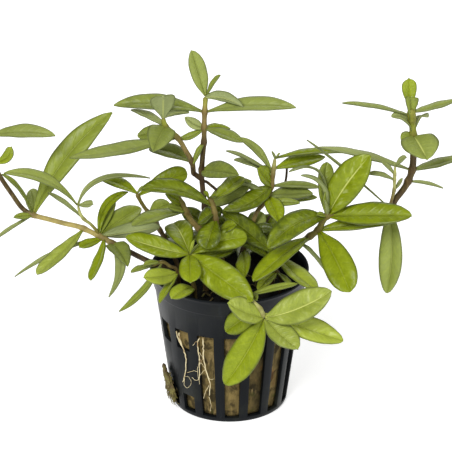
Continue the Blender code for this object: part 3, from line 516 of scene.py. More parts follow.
class Sheet:
    """A material's node tree, with one method that adds any node."""

    def __init__(self, name: str) -> None:
        """Start a material with one Principled shader."""
        self.material = bpy.data.materials.new(name)
        self.material.use_nodes = True
        self.shader = self.material.node_tree.nodes["Principled BSDF"]

    def node(self, kind: str, settings: dict | None = None,
             inputs: dict | None = None) -> bpy.types.Node:
        """Add a node.

        Args:
            kind: The node's type.
            settings: Its properties, set first; stops are a ramp's places and colours.
            inputs: What its sockets get, by name or number.

        Returns:
            The new node.
        """
        made = self.material.node_tree.nodes.new(kind)
        for key, setting in (settings or {}).items():
            if key == "stops":
                ramp = made.color_ramp.elements
                while len(ramp) < len(setting):
                    ramp.new(0.5)
                for element, (place, colour) in zip(ramp, setting):
                    element.position = place
                    element.color = colour
            else:
                setattr(made, key, setting)
        for key, given in (inputs or {}).items():
            self.feed(made.inputs[key], given)
        return made

    def feed(self, socket: bpy.types.NodeSocket, given: object) -> None:
        """Link or set one socket."""
        if isinstance(given, Value):
            given = given.socket
        if isinstance(given, bpy.types.NodeSocket):
            self.material.node_tree.links.new(given, socket)
        else:
            socket.default_value = given

    def value(self, kind: str, settings: dict, inputs: dict) -> Value:
        """Add a node and wrap its first result as a value."""
        return Value(self, self.node(kind, settings, inputs).outputs[0])

    def place(self) -> bpy.types.NodeSocket:
        """Place on the piece in metres."""
        return self.node("ShaderNodeTexCoord").outputs["Object"]

    def axes(self, vector: bpy.types.NodeSocket) -> tuple[Value, ...]:
        """The three parts of a place or of a UV map's position."""
        split = self.node("ShaderNodeSeparateXYZ", None, {"Vector": vector})
        return tuple(Value(self, part) for part in split.outputs)

    def stretched(self, stretch: Point) -> bpy.types.NodeSocket:
        """Place on the piece, stretched along each axis.

        Args:
            stretch: How many times each axis is scaled.

        Returns:
            The stretched place.
        """
        mapping = self.node("ShaderNodeMapping", None, {"Vector": self.place(), "Scale": stretch})
        return mapping.outputs["Vector"]

    def cloud(self, scale: float, detail: float = 3.0, stretch: Point | None = None) -> Value:
        """Soft noise over the piece.

        Args:
            scale: Spots for each metre.
            detail: How much finer noise lies on it.
            stretch: Scale of each axis, where the spots are drawn out.

        Returns:
            The noise, from 0 to 1.
        """
        vector = self.stretched(stretch) if stretch else self.place()
        inputs = {"Vector": vector, "Scale": scale, "Detail": detail}
        return self.value("ShaderNodeTexNoise", {}, inputs)

    def attribute(self, name: str) -> Value:
        """A number that the piece's mesh carries."""
        node = self.node("ShaderNodeAttribute", {"attribute_name": name})
        return Value(self, node.outputs["Fac"])

    def tint(self, name: str) -> bpy.types.NodeSocket:
        """A colour that the piece's mesh carries."""
        return self.node("ShaderNodeAttribute", {"attribute_name": name}).outputs["Color"]

    def blend(self, share: Value | float, first: object, second: object,
              way: str = "MIX") -> bpy.types.NodeSocket:
        """Mix two colours.

        Args:
            share: How much of the second shows, from 0 to 1.
            first: First colour or socket.
            second: Second colour or socket.
            way: The mixing way, such as MIX or MULTIPLY.

        Returns:
            The mixed colour.
        """
        settings = {"data_type": "RGBA", "blend_type": way}
        return self.node("ShaderNodeMix", settings, {0: share, 6: first, 7: second}).outputs[2]

    def finish(self, colour: object, roughness: Value | float, height: Value | None = None,
               depth: float = 0.1, strength: float = 0.6,
               gloss: float = 0.5) -> bpy.types.Material:
        """Feed the shader.

        Args:
            colour: Base colour.
            roughness: Roughness.
            height: Relief from 0 to 1, where there is one.
            depth: Millimetres between the relief's 0 and 1.
            strength: How strongly the relief shows.
            gloss: The shader's specular level.

        Returns:
            The finished material.
        """
        self.shader.inputs["Specular IOR Level"].default_value = gloss
        self.feed(self.shader.inputs["Base Color"], colour)
        self.feed(self.shader.inputs["Roughness"], roughness)
        if height is not None:
            inputs = {"Height": height, "Distance": depth * MM, "Strength": strength}
            bump = self.node("ShaderNodeBump", None, inputs)
            self.feed(self.shader.inputs["Normal"], bump.outputs["Normal"])
        return self.material


@dataclass(frozen=True)
class LeafFinish:
    """Fleshy, slightly glossy blade with faint side veins, and a duller, greyer underside."""

    deep: Colour = srgb(50, 62, 4)
    plain: Colour = srgb(122, 136, 8)
    light: Colour = srgb(162, 176, 36)
    bloom: Colour = srgb(146, 153, 104)
    back: Colour = srgb(138, 147, 96)
    back_deep: Colour = srgb(96, 108, 56)
    rib: Colour = srgb(206, 212, 120)
    foot: Colour = srgb(146, 140, 60)
    rim: Colour = srgb(70, 78, 30)
    # Painted highlight: colour of the bright sheen streaks; shade below is the painted shade of the
    # lanes between them
    painted_highlight: Colour = srgb(206, 213, 148)
    shade: Colour = srgb(84, 96, 10)
    patch_scale: float = 150.0
    crinkle_scale: float = 430.0
    grain_scale: float = 1500.0
    veins: float = 9.0
    vein_light: float = 0.11
    lanes: float = 15.0
    lane_slant: float = 2.6
    lane_shade: float = 0.22
    lane_highlight: float = 0.42
    faint_rib: float = 0.12
    clear_rib: float = 0.6
    relief: float = 0.3
    relief_strength: float = 0.85
    gloss: float = 0.26

    def make(self) -> bpy.types.Material:
        """Make the leaf material."""
        sheet = Sheet("leaf")
        across = sheet.node("ShaderNodeUVMap", {"uv_map": "UVMap"}).outputs["UV"]
        along, from_side = sheet.axes(across)[:2]
        side = from_side * 2.0 - 1.0
        edge = abs(side)
        under = sheet.attribute("underside")
        patch = sheet.cloud(self.patch_scale, 4.0)
        crinkle = sheet.cloud(self.crinkle_scale, 2.0)
        grain = sheet.cloud(self.grain_scale, 3.0)
        rib = (1.0 - edge.step(0.01, 0.075)) * (1.0 - along.step(0.72, 1.0))
        ladder = abs((along * self.veins - edge * 1.6 + patch * 0.9).fraction() - 0.5) * 2.0
        vein = (1.0 - ladder.step(0.0, 0.45)) * (1.0 - edge.step(0.5, 0.95)) * edge.step(0.02, 0.2)
        light = sheet.attribute("tone") + (patch - 0.5) * 0.5
        light = light + (crinkle - 0.5) * 0.4 + (grain - 0.5) * 0.35
        light = light + (1.0 - edge.step(0.0, 0.55)) * 0.06 - edge.step(0.6, 1.0) * 0.1
        top = sheet.blend(light.step(-0.1, 0.66), self.deep, self.plain)
        top = sheet.blend(light.step(0.55, 1.15), top, self.light)
        top = sheet.blend(sheet.attribute("bloom") * (0.4 + patch * 0.6), top, self.bloom)
        top = sheet.blend(vein * self.vein_light, top, self.light)
        lane = {"X": along * self.lanes - edge * self.lane_slant, "Y": side * 2.0,
                "Z": sheet.attribute("tone") * 37.0}
        lanes = sheet.node("ShaderNodeCombineXYZ", None, lane).outputs["Vector"]
        streak = sheet.value("ShaderNodeTexNoise", {},
                             {"Vector": lanes, "Scale": 1.0, "Detail": 4.0})
        # Painted sheen on the listed leaves: bright lanes are painted highlights, dark lanes are
        # painted shade
        shiny = sheet.attribute("shiny") * (1.0 - edge.step(0.75, 1.0))
        shade_lane = (1.0 - streak.step(0.32, 0.48)) * shiny
        highlight_lane = streak.step(0.5, 0.75) * patch.step(0.4, 0.6) * shiny
        # Pale midrib: faint on every leaf as its own colour; clear on the ribbed leaves, where it is
        # partly a painted highlight
        rib_share = rib * (self.faint_rib + sheet.attribute("ribbed") * self.clear_rib)
        top = sheet.blend(shade_lane * self.lane_shade, top, self.shade)
        top = sheet.blend(highlight_lane * self.lane_highlight, top, self.painted_highlight)
        top = sheet.blend(rib_share, top, self.rib)
        back = sheet.blend((light + vein * 0.15).step(0.1, 0.8), self.back_deep, self.back)
        back = sheet.blend(rib * 0.35, back, self.rib)
        colour = sheet.blend(under, top, back)
        colour = sheet.blend((1.0 - along.step(0.0, 0.07)) * 0.4, colour, self.foot)
        colour = sheet.blend(edge.step(0.84, 1.0) * 0.6, colour, self.rim)
        roughness = 0.26 + patch * 0.2 + sheet.attribute("bloom") * 0.16 + under * 0.2
        height = patch * 0.7 + crinkle * 0.6 + grain * 0.12 + vein * 0.25 - rib * 0.7
        return sheet.finish(colour, roughness, height, self.relief, self.relief_strength, self.gloss)


@dataclass(frozen=True)
class StemFinish:
    """Soft stem with fine streaks, darker at its joints."""

    joint: Colour = srgb(84, 66, 34)
    dirt: Colour = srgb(46, 34, 20)
    streak: Colour = srgb(186, 166, 96)
    gloss: float = 0.2

    def make(self) -> bpy.types.Material:
        """Make the stem material, tinted by the mesh's own colour."""
        sheet = Sheet("stem")
        streak = sheet.cloud(700.0, 3.0, (1.0, 1.0, 0.25))
        patch = sheet.cloud(260.0, 3.0)
        colour = sheet.blend(patch.step(0.45, 0.75) * 0.4, sheet.tint("tint"), self.dirt)
        colour = sheet.blend(sheet.attribute("joint") * 0.45, colour, self.joint)
        colour = sheet.blend(streak.step(0.4, 0.8) * 0.2, colour, self.streak)
        return sheet.finish(colour, 0.4 + patch * 0.2, streak, 0.12, 0.6, self.gloss)


@dataclass(frozen=True)
class PotFinish:
    """Moulded blue-black plastic with a satin skin, fine scratches and a little dried film."""

    skin: Colour = srgb(15, 18, 21)
    worn: Colour = srgb(34, 39, 44)
    film: Colour = srgb(58, 60, 44)
    film_height: float = 0.02
    gloss: float = 0.1

    def make(self) -> bpy.types.Material:
        """Make the pot's material."""
        sheet = Sheet("pot_plastic")
        patch = sheet.cloud(90.0, 4.0)
        grain = sheet.cloud(1600.0, 2.0)
        scratch = sheet.cloud(420.0, 3.0, (1.0, 1.0, 0.12))
        height = sheet.axes(sheet.place())[2]
        colour = sheet.blend(scratch.step(0.55, 0.8) * 0.4, self.skin, self.worn)
        low = 1.0 - height.step(0.0, self.film_height)
        colour = sheet.blend(patch.step(0.5, 0.8) * (0.12 + low * 0.25), colour, self.film)
        roughness = 0.22 + patch * 0.16 + scratch * 0.12
        relief = grain * 0.4 + scratch * 0.5
        return sheet.finish(colour, roughness, relief, 0.05, 0.5, self.gloss)


@dataclass(frozen=True)
class WoolFinish:
    """Matted brown fibres: ochre where light falls on them, and painted almost black on top as
    painted shade under the leaves.
    """

    ochre: Colour = srgb(128, 110, 66)
    brown: Colour = srgb(66, 58, 36)
    dark: Colour = srgb(28, 25, 16)
    moss: Colour = srgb(66, 72, 22)
    rust: Colour = srgb(104, 66, 36)
    tan: Colour = srgb(168, 144, 96)
    # Painted shade: near-black colour for the top of the plug, which lies in the leaves' shade
    crown: Colour = srgb(13, 11, 8)
    shadow: tuple = (0.006, 0.008, 0.0115, 0.0135)
    gloss: float = 0.15

    def make(self) -> bpy.types.Material:
        """Make the rock wool's material."""
        sheet = Sheet("rock_wool")
        fibre = sheet.cloud(1000.0, 5.0, (1.0, 1.0, 0.22))
        clump = sheet.cloud(120.0, 4.0)
        spots = sheet.cloud(260.0, 4.0)
        place = sheet.axes(sheet.place())
        side, height = place[0], place[2]
        lit = fibre * 0.5 + clump * 0.75 - side * 4.0 + 0.04
        shaded = side.step(*self.shadow[:2]) * (1.0 - side.step(*self.shadow[2:]))
        pale_fibre = (1.0 - clump.step(0.32, 0.42)) * fibre.step(0.4, 0.6)
        mossy = (1.0 - spots.step(0.3, 0.44)) * (1.0 - height.step(0.004, 0.022))
        rusty = clump.step(0.6, 0.72) * side.step(0.006, 0.012)
        colour = sheet.blend(lit.step(0.42, 0.88), self.brown, self.ochre)
        colour = sheet.blend(spots.step(0.5, 0.64) * 0.75, colour, self.dark)
        colour = sheet.blend(shaded * 0.5, colour, self.dark)
        colour = sheet.blend(pale_fibre * 0.6, colour, self.tan)
        colour = sheet.blend(mossy * 0.7, colour, self.moss)
        colour = sheet.blend(rusty * 0.6, colour, self.rust)
        # Painted shade: the top of the plug goes almost black, for the shade under the leaves
        colour = sheet.blend(height.step(0.035, 0.0385), colour, self.crown)
        return sheet.finish(colour, 0.95, fibre * 0.7 + clump * 0.5, 0.6, 1.0, self.gloss)


@dataclass(frozen=True)
class RootFinish:
    """Smooth pale root, browner in places."""

    pale: Colour = srgb(208, 194, 152)
    brown: Colour = srgb(148, 120, 74)

    def make(self) -> bpy.types.Material:
        """Make the roots' material."""
        sheet = Sheet("root")
        patch = sheet.cloud(420.0, 3.0)
        colour = sheet.blend(patch.step(0.5, 0.72), self.pale, self.brown)
        return sheet.finish(colour, 0.55, patch, 0.1, 0.5)


@dataclass(frozen=True)
class TuftFinish:
    """Felted fine roots with olive algae on them."""

    olive: Colour = srgb(104, 98, 42)
    brown: Colour = srgb(74, 58, 30)
    pale: Colour = srgb(150, 136, 84)

    def make(self) -> bpy.types.Material:
        """Make the tuft's material."""
        sheet = Sheet("root_tuft")
        clump = sheet.cloud(380.0, 4.0)
        grain = sheet.cloud(1700.0, 3.0)
        colour = sheet.blend(clump.step(0.38, 0.62), self.brown, self.olive)
        colour = sheet.blend(grain.step(0.52, 0.72) * 0.5, colour, self.pale)
        return sheet.finish(colour, 0.9, clump + grain * 0.6, 0.3, 1.0)


@dataclass(frozen=True)
class FloorFinish:
    """Matt pale studio floor."""

    pale: Colour = (0.93, 0.93, 0.93, 1.0)
    shade: Colour = (0.9, 0.9, 0.9, 1.0)
    glow: Colour = (1.0, 1.0, 1.0, 1.0)
    glow_strength: float = 0.42

    def make(self) -> bpy.types.Material:
        """Make the floor's material."""
        sheet = Sheet("floor")
        sheet.shader.inputs["Emission Color"].default_value = self.glow
        sheet.shader.inputs["Emission Strength"].default_value = self.glow_strength
        return sheet.finish(sheet.blend(sheet.cloud(3.0), self.pale, self.shade), 0.9)


# Modelling by hand, in code

def deselect() -> None:
    """Leave edit mode and select nothing."""
    if bpy.context.object and bpy.context.object.mode != "OBJECT":
        bpy.ops.object.mode_set(mode="OBJECT")
    bpy.ops.object.select_all(action="DESELECT")


def pick(piece: bpy.types.Object) -> None:
    """Select one piece and make it the active one."""
    deselect()
    piece.select_set(True)
    bpy.context.view_layer.objects.active = piece


def name_new(name: str) -> bpy.types.Object:
    """Name the piece that an operator has just added, and its mesh."""
    piece = bpy.context.object
    piece.name = name
    piece.data.name = name
    return piece


def select_parts(piece: bpy.types.Object, kind: str, test: Callable[[Vector], bool]) -> None:
    """Select vertices, edges or faces by place, and go to edit mode.

    Args:
        piece: The piece, which becomes the active one.
        kind: VERT, EDGE or FACE.
        test: Whether a part whose middle is at a place, in metres, is selected.
    """
    pick(piece)
    bpy.ops.object.mode_set(mode="EDIT")
    bpy.ops.mesh.select_mode(type=kind)
    bpy.ops.mesh.select_all(action="DESELECT")
    bpy.ops.object.mode_set(mode="OBJECT")
    mesh = piece.data
    if kind == "VERT":
        for vertex in mesh.vertices:
            vertex.select = test(vertex.co)
    elif kind == "EDGE":
        for line in mesh.edges:
            first, second = (mesh.vertices[index].co for index in line.vertices)
            line.select = test((first + second) / 2.0)
    else:
        for face in mesh.polygons:
            face.select = test(face.center)
    bpy.ops.object.mode_set(mode="EDIT")


def apply_modifier(piece: bpy.types.Object, kind: str, **settings: object) -> None:
    """Add a modifier with its settings and apply it."""
    pick(piece)
    modifier = piece.modifiers.new(kind.lower(), kind)
    for key, setting in settings.items():
        setattr(modifier, key, setting)
    bpy.ops.object.modifier_apply(modifier=modifier.name)


def settle(piece: bpy.types.Object) -> None:
    """Put a piece's place, turn and size into its mesh."""
    pick(piece)
    bpy.ops.object.transform_apply(location=True, rotation=True, scale=True)
    deselect()


def join(pieces: list[bpy.types.Object], name: str) -> bpy.types.Object:
    """Join pieces into one mesh.

    Args:
        pieces: The pieces, of which the first keeps its materials' order.
        name: Name of the joined piece.

    Returns:
        The joined piece.
    """
    deselect()
    for piece in pieces:
        piece.select_set(True)
    bpy.context.view_layer.objects.active = pieces[0]
    if len(pieces) > 1:
        bpy.ops.object.join()
    return name_new(name)


def write_attribute(piece: bpy.types.Object, name: str, numbers: np.ndarray) -> None:
    """Store one number for each vertex."""
    attribute = piece.data.attributes.new(name, "FLOAT", "POINT")
    attribute.data.foreach_set("value", np.ascontiguousarray(numbers, np.float32))


def read_places(piece: bpy.types.Object) -> np.ndarray:
    """Places of a piece's vertices, one row for each."""
    flat = np.empty(len(piece.data.vertices) * 3, np.float32)
    piece.data.vertices.foreach_get("co", flat)
    return flat.reshape(-1, 3).astype(float)


def write_places(piece: bpy.types.Object, places: np.ndarray) -> None:
    """Move a piece's vertices to new places."""
    piece.data.vertices.foreach_set("co", np.ascontiguousarray(places, np.float32).ravel())
    piece.data.update()


def unit(rows: np.ndarray) -> np.ndarray:
    """Each row as a direction of length 1."""
    return rows / np.linalg.norm(rows, axis=-1, keepdims=True)


def through(points: np.ndarray, places: np.ndarray) -> np.ndarray:
    """Smooth curve through points.

    Args:
        points: The points, one row for each.
        places: Where on it, counted along the points.

    Returns:
        One row for each place.
    """
    ends = np.vstack((2 * points[0] - points[1], points, 2 * points[-1] - points[-2]))
    lower = np.clip(places.astype(int), 0, len(points) - 2)
    share = (places - lower)[:, None]
    before, first, second, after = (ends[lower + step] for step in range(4))
    return 0.5 * (2 * first + (second - before) * share
                  + (2 * before - 5 * first + 4 * second - after) * share ** 2
                  + (3 * first - before - 3 * second + after) * share ** 3)


def tube(name: str, route: np.ndarray, radii: np.ndarray, roundness: int = 2) -> bpy.types.Object:
    """Closed round tube along a route, drawn as a curve and made a mesh.

    Args:
        name: Name of the piece.
        route: Points in millimetres, one row for each.
        radii: Radius at each point in millimetres.
        roundness: Bevel resolution of the curve.

    Returns:
        The tube.
    """
    deselect()
    bpy.ops.curve.primitive_nurbs_path_add()
    piece = name_new(name)
    curve = piece.data
    curve.splines.clear()
    spline = curve.splines.new("POLY")
    spline.points.add(len(route) - 1)
    rows = np.hstack((route * MM, np.ones((len(route), 1))))
    spline.points.foreach_set("co", rows.ravel())
    spline.points.foreach_set("radius", np.ascontiguousarray(radii, np.float32))
    curve.bevel_depth = MM
    curve.bevel_resolution = roundness
    curve.use_fill_caps = True
    bpy.ops.object.convert(target="MESH")
    piece = name_new(name)
    bpy.ops.object.shade_smooth()
    return piece


def dress(piece: bpy.types.Object, finish: bpy.types.Material, slot: str, *nodes: str) -> None:
    """Give a piece its material, let it ride, and hide the solids that it stands for.

    Args:
        piece: The finished piece.
        finish: Its material.
        slot: The record's material slot; not used.
        nodes: Solids that it stands for.
    """
    piece.data.materials.clear()
    piece.data.materials.append(finish)
    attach(piece, "root")
    if nodes:
        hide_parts(*nodes)
    log.info("%s: %d faces", piece.name, len(piece.data.polygons))


# The pot and what it holds

@dataclass(frozen=True)
class NetPot:
    """Slotted pot: flat base, slotted wall, proud band and lip."""

    height: float = 50.5
    base_radius: float = 20.0
    taper: float = 0.133
    wall: float = 1.2
    lip_radius: float = 27.5
    lip_height: float = 0.9
    band_bottom: float = 44.3
    band_proud: float = 0.4
    columns: int = 16
    segments: int = 8
    slot_segments: int = 5
    phase: float = 2.5
    slot_bottom: float = 1.8
    slot_top: float = 35.0
    plate_columns: tuple = (12, 13, 14)
    plate_bottom: float = 8.4
    plate_top: float = 27.3
    drain_inner: float = 7.0
    drain_outer: float = 17.0
    drain_segments: int = 3
    edge_radius: float = 0.22

    def radius(self, height: float) -> float:
        """Outer radius of the wall at a height."""
        return self.base_radius + self.taper * height

    def turn(self, place: Vector) -> float:
        """How far round the axis a place is, counted in slot columns."""
        degrees = math.degrees(math.atan2(place.x, -place.y)) - self.phase
        return degrees / (360.0 / self.columns)

    def column(self, place: Vector) -> tuple[int, float]:
        """Slot column nearest to a place, and how far from its middle the place is.

        Args:
            place: Place in metres.

        Returns:
            The column's number, and the distance in segments.
        """
        turn = self.turn(place)
        number = round(turn)
        return number % self.columns, abs(turn - number) * self.segments

    def is_slot(self, place: Vector) -> bool:
        """Whether a face of the wall is cut away."""
        height = place.z / MM
        number, offset = self.column(place)
        if offset > self.slot_segments / 2.0 or not self.slot_bottom < height < self.slot_top:
            return False
        return number not in self.plate_columns or not self.plate_bottom < height < self.plate_top

    def is_drain(self, place: Vector) -> bool:
        """Whether a face of the base is cut away: every second rib has a drain slot."""
        radius = math.hypot(place.x, place.y) / MM
        along = (self.turn(place) - 0.5) % 2.0
        near = min(along, 2.0 - along) * self.segments
        in_reach = self.drain_inner < radius < self.drain_outer
        return place.z < 0.1 * MM and in_reach and near < self.drain_segments / 2.0

    def rings(self) -> list[tuple[float, float]]:
        """Radius and height of each ring of the skin, from the base's middle to the lip."""
        rings = [(self.drain_outer, 0.0), (self.base_radius - 0.9, 0.0),
                 (self.base_radius - 0.3, 0.12), (self.base_radius + 0.05, 0.7)]
        heights = (self.slot_bottom, self.plate_bottom, self.plate_top, self.slot_top,
                   self.band_bottom - 0.2)
        rings += [(self.radius(height), height) for height in heights]
        top = self.height - self.lip_height
        rings += [(self.radius(self.band_bottom) + 0.12, self.band_bottom),
                  (self.radius(self.band_bottom) + self.band_proud, self.band_bottom + 0.45),
                  (self.radius(top - 0.9) + self.band_proud, top - 0.9),
                  (self.lip_radius - 0.15, top), (self.lip_radius, top + 0.3),
                  (self.lip_radius - 0.1, self.height - 0.2), (self.lip_radius - 0.35, self.height)]
        return rings

    def build(self, finish: bpy.types.Material) -> bpy.types.Object:
        """Model the pot from a circle that is drawn out ring by ring.

        Args:
            finish: The plastic.

        Returns:
            The finished pot.
        """
        deselect()
        steps = self.columns * self.segments
        turn = math.radians(self.phase - 90.0 + 180.0 / steps)
        bpy.ops.mesh.primitive_circle_add(vertices=steps, radius=self.drain_inner * MM,
                                          rotation=(0, 0, turn))
        pot = name_new("slotted_pot")
        settle(pot)
        pick(pot)
        bpy.ops.object.mode_set(mode="EDIT")
        bpy.ops.mesh.select_mode(type="EDGE")
        bpy.ops.mesh.select_all(action="SELECT")
        radius, height = self.drain_inner, 0.0
        for next_radius, next_height in self.rings():
            shift = (0.0, 0.0, (next_height - height) * MM)
            bpy.ops.mesh.extrude_region_move(TRANSFORM_OT_translate={"value": shift})
            share = next_radius / radius
            bpy.ops.transform.resize(value=(share, share, 1.0),
                                     center_override=(0, 0, next_height * MM))
            radius, height = next_radius, next_height
        select_parts(pot, "VERT", lambda place: place.z < 0.1 * MM
                     and math.hypot(place.x, place.y) < (self.drain_inner + 0.1) * MM)
        bpy.ops.mesh.edge_face_add()
        select_parts(pot, "FACE", lambda place: self.is_slot(place) or self.is_drain(place))
        bpy.ops.mesh.delete(type="FACE")
        bpy.ops.mesh.select_all(action="SELECT")
        bpy.ops.mesh.normals_make_consistent(inside=False)
        deselect()
        apply_modifier(pot, "SOLIDIFY", thickness=self.wall * MM, offset=-1.0, use_even_offset=True)
        apply_modifier(pot, "BEVEL", width=self.edge_radius * MM, segments=2, limit_method="ANGLE",
                       angle_limit=math.radians(50.0))
        pick(pot)
        bpy.ops.object.shade_smooth_by_angle(angle=math.radians(35.0))
        dress(pot, finish, "pot_plastic", "net_pot")
        return pot

    def wall_point(self, angle: float, height: float, outwards: float) -> Point:
        """Point by the wall.

        Args:
            angle: Degrees from the front.
            height: Height above the floor.
            outwards: Distance outside the wall.

        Returns:
            The point in millimetres.
        """
        turn = math.radians(angle)
        radius = self.radius(height) + outwards
        return (math.sin(turn) * radius, -math.cos(turn) * radius, height)


@dataclass(frozen=True)
class RockWool:
    """Plug of matted fibres that fills the pot almost to its lip."""

    pot: NetPot
    clearance: float = 1.7
    top: float = 43.3
    bottom: float = 1.6
    sides: int = 96
    layers: int = 34
    crown: float = 2.0
    crown_steps: tuple = (0.08, 0.16, 0.22, 0.3)
    matting: tuple = ((0.0035, 0.9), (0.0011, 0.45))

    def build(self, finish: bpy.types.Material) -> bpy.types.Object:
        """Model the plug from a cylinder, with a sunken crown and a matted surface.

        Args:
            finish: The wool.

        Returns:
            The finished plug.
        """
        deselect()
        middle = (self.top + self.bottom) / 2.0
        bpy.ops.mesh.primitive_cone_add(
            vertices=self.sides, radius1=(self.pot.radius(self.bottom) - self.clearance) * MM,
            radius2=(self.pot.radius(self.top) - self.clearance) * MM,
            depth=(self.top - self.bottom) * MM, location=(0, 0, middle * MM))
        wool = name_new("wool_plug")
        settle(wool)
        select_parts(wool, "FACE", lambda place: place.z > (self.top - 0.1) * MM)
        for share in self.crown_steps:
            width = self.pot.radius(self.top) * share * MM
            bpy.ops.mesh.inset(thickness=width, depth=-self.crown * 0.25 * MM)
        bpy.ops.mesh.poke()
        select_parts(wool, "EDGE", lambda place: abs(place.z / MM - middle) < 1.0)
        bpy.ops.mesh.subdivide(number_cuts=self.layers)
        deselect()
        for spot, depth in self.matting:
            self.roughen(wool, spot, depth)
        pick(wool)
        bpy.ops.object.shade_smooth()
        dress(wool, finish, "rock_wool", "rock_wool")
        return wool

    def roughen(self, wool: bpy.types.Object, spot: float, depth: float) -> None:
        """Press clouds into the surface.

        Args:
            wool: The plug.
            spot: Size of a spot in metres.
            depth: Millimetres from lowest to highest.
        """
        clouds = bpy.data.textures.new("matting", "CLOUDS")
        clouds.noise_scale = spot
        apply_modifier(wool, "DISPLACE", texture=clouds, texture_coords="LOCAL", mid_level=0.6,
                       strength=depth * MM)


@dataclass(frozen=True)
class Roots:
    """Roots that run down behind and over the pot's slots, and the tuft at its left."""

    pot: NetPot
    fibres: int = 46
    scraps: int = 34
    wool_top: float = 41.6
    tuft_angle: float = -70.0
    tuft_height: float = 8.6
    # Name, (angle, height) of the places it runs through, radius at both ends, crookedness
    over_plate: tuple = (
        ("root_a", ((-43.8, 34.0), (-43.8, 31.0), (-41.8, 28.5), (-39.9, 26.0), (-39.8, 23.6),
                    (-41.2, 19.3), (-44.3, 15.2), (-46.7, 13.4)), 0.26, 0.17, 0.08),
        ("root_b", ((-47.2, 34.0), (-46.2, 31.5), (-43.2, 28.9)), 0.24, 0.2, 0.06),
        ("curl", ((-43.9, 15.2), (-45.3, 12.3), (-41.8, 11.6), (-37.8, 13.3), (-36.3, 15.1),
                  (-39.2, 16.6), (-44.2, 15.9)), 0.08, 0.06, 0.05),
        ("hair_long", ((-40.2, 18.2), (-34.1, 19.6), (-28.6, 20.2)), 0.09, 0.08, 0.12),
    )
    # Name, (angle, height) of the places, distance outside the wall, radius at both ends
    in_slot: tuple = (
        ("main", ((-21.5, 34.8), (-21.4, 31.1), (-21.9, 27.9), (-21.1, 23.8), (-19.8, 19.9),
                  (-17.8, 17.2), (-17.6, 14.3), (-18.6, 11.0)), 0.35, 0.24, 0.17),
        ("side", ((-24.2, 34.5), (-25.9, 32.8), (-26.0, 29.2), (-25.7, 25.2), (-26.4, 21.0),
                  (-27.6, 16.9)), 0.45, 0.22, 0.15),
    )
    hairs: tuple = (
        ((-30.9, 30.7), (-27.9, 32.3), (-25.9, 32.9)), ((-25.3, 28.4), (-23.2, 27.0), (-21.7, 25.5)),
        ((-21.5, 26.7), (-24.0, 24.9), (-26.1, 22.7)), ((-25.6, 26.0), (-23.7, 23.7), (-20.6, 21.9)),
        ((-20.3, 22.4), (-23.2, 20.5), (-26.6, 18.6)), ((-18.2, 18.4), (-16.3, 17.7), (-13.9, 18.2)),
        ((-34.8, 16.9), (-30.8, 16.1), (-27.8, 16.9)), ((-26.4, 24.0), (-28.4, 20.4), (-27.4, 15.0)),
        ((-18.3, 15.4), (-21.9, 12.3), (-24.4, 9.3)), ((-19.0, 10.4), (-17.4, 7.2), (-18.4, 4.4)),
    )

    def strand(self, name: str, stations: Iterable[Point], thick: float, thin: float,
               jitter: float = 0.12) -> bpy.types.Object:
        """One root, slightly crooked.

        Args:
            name: Name of the piece.
            stations: Angle, height and distance outside the wall of the places it runs through.
            thick: Radius at its start.
            thin: Radius at its end.
            jitter: How crooked it is in millimetres.

        Returns:
            The root.
        """
        points = np.array([self.pot.wall_point(*station) for station in stations])
        places = np.linspace(0.0, len(points) - 1.0, len(points) * 9)
        route = through(points, places)
        chance = np.random.default_rng(len(name) + len(points))
        wander = chance.normal(0.0, jitter, (len(points) * 3, 3))
        wander[0] = wander[-1] = 0.0
        route += through(wander, places * (len(wander) - 1) / (len(points) - 1))
        uneven = 1.0 + 0.05 * chance.normal(0, 1, len(route))
        radii = np.linspace(thick, thin, len(route)) * uneven
        return tube(name, route, np.abs(radii), 2)

    def build(self, finish: bpy.types.Material) -> None:
        """Make the roots on the front of the pot."""
        left = [self.strand(name, self.lift(stations), thick, thin, jitter)
                for name, stations, thick, thin, jitter in self.over_plate]
        dress(join(left, "root_over_plate"), finish, "root", "root_left")
        middle = [self.strand(name, self.lift(stations, outwards), thick, thin, 0.08)
                  for name, stations, outwards, thick, thin in self.in_slot]
        middle += [self.strand(f"hair_{number}", self.lift(hair, 0.4), 0.1, 0.07, 0.1)
                   for number, hair in enumerate(self.hairs)]
        dress(join(middle, "root_in_slot"), finish, "root", "root_middle")

    def build_scraps(self, finish: bpy.types.Material) -> None:
        """Strew short dead roots over the wool's top."""
        chance = random.Random(3)
        scraps = []
        for number in range(self.scraps):
            turn, away = chance.uniform(0.0, math.tau), chance.uniform(3.0, 20.0)
            x, y, z = math.sin(turn) * away, -math.cos(turn) * away, self.wool_top
            reach = chance.uniform(1.5, 4.0)
            heading = chance.uniform(0.0, math.tau)
            rise = chance.uniform(0.2, 1.4)
            half, turned = reach * 0.5, heading + 0.4
            points = [(x, y, z),
                      (x + half * math.sin(heading), y + half * math.cos(heading), z + rise),
                      (x + reach * math.sin(turned), y + reach * math.cos(turned), z - 0.2)]
            route = through(np.array(points), np.linspace(0.0, 2.0, 9))
            scraps.append(tube(f"scrap_{number}", route, np.full(9, chance.uniform(0.15, 0.34)), 1))
        dress(join(scraps, "root_scraps"), finish, "root_tuft")

    def lift(self, stations: Iterable[tuple[float, float]], outwards: float = 0.35) -> list[Point]:
        """Stations of angle and height, all at one distance outside the wall."""
        return [(angle, height, outwards) for angle, height in stations]

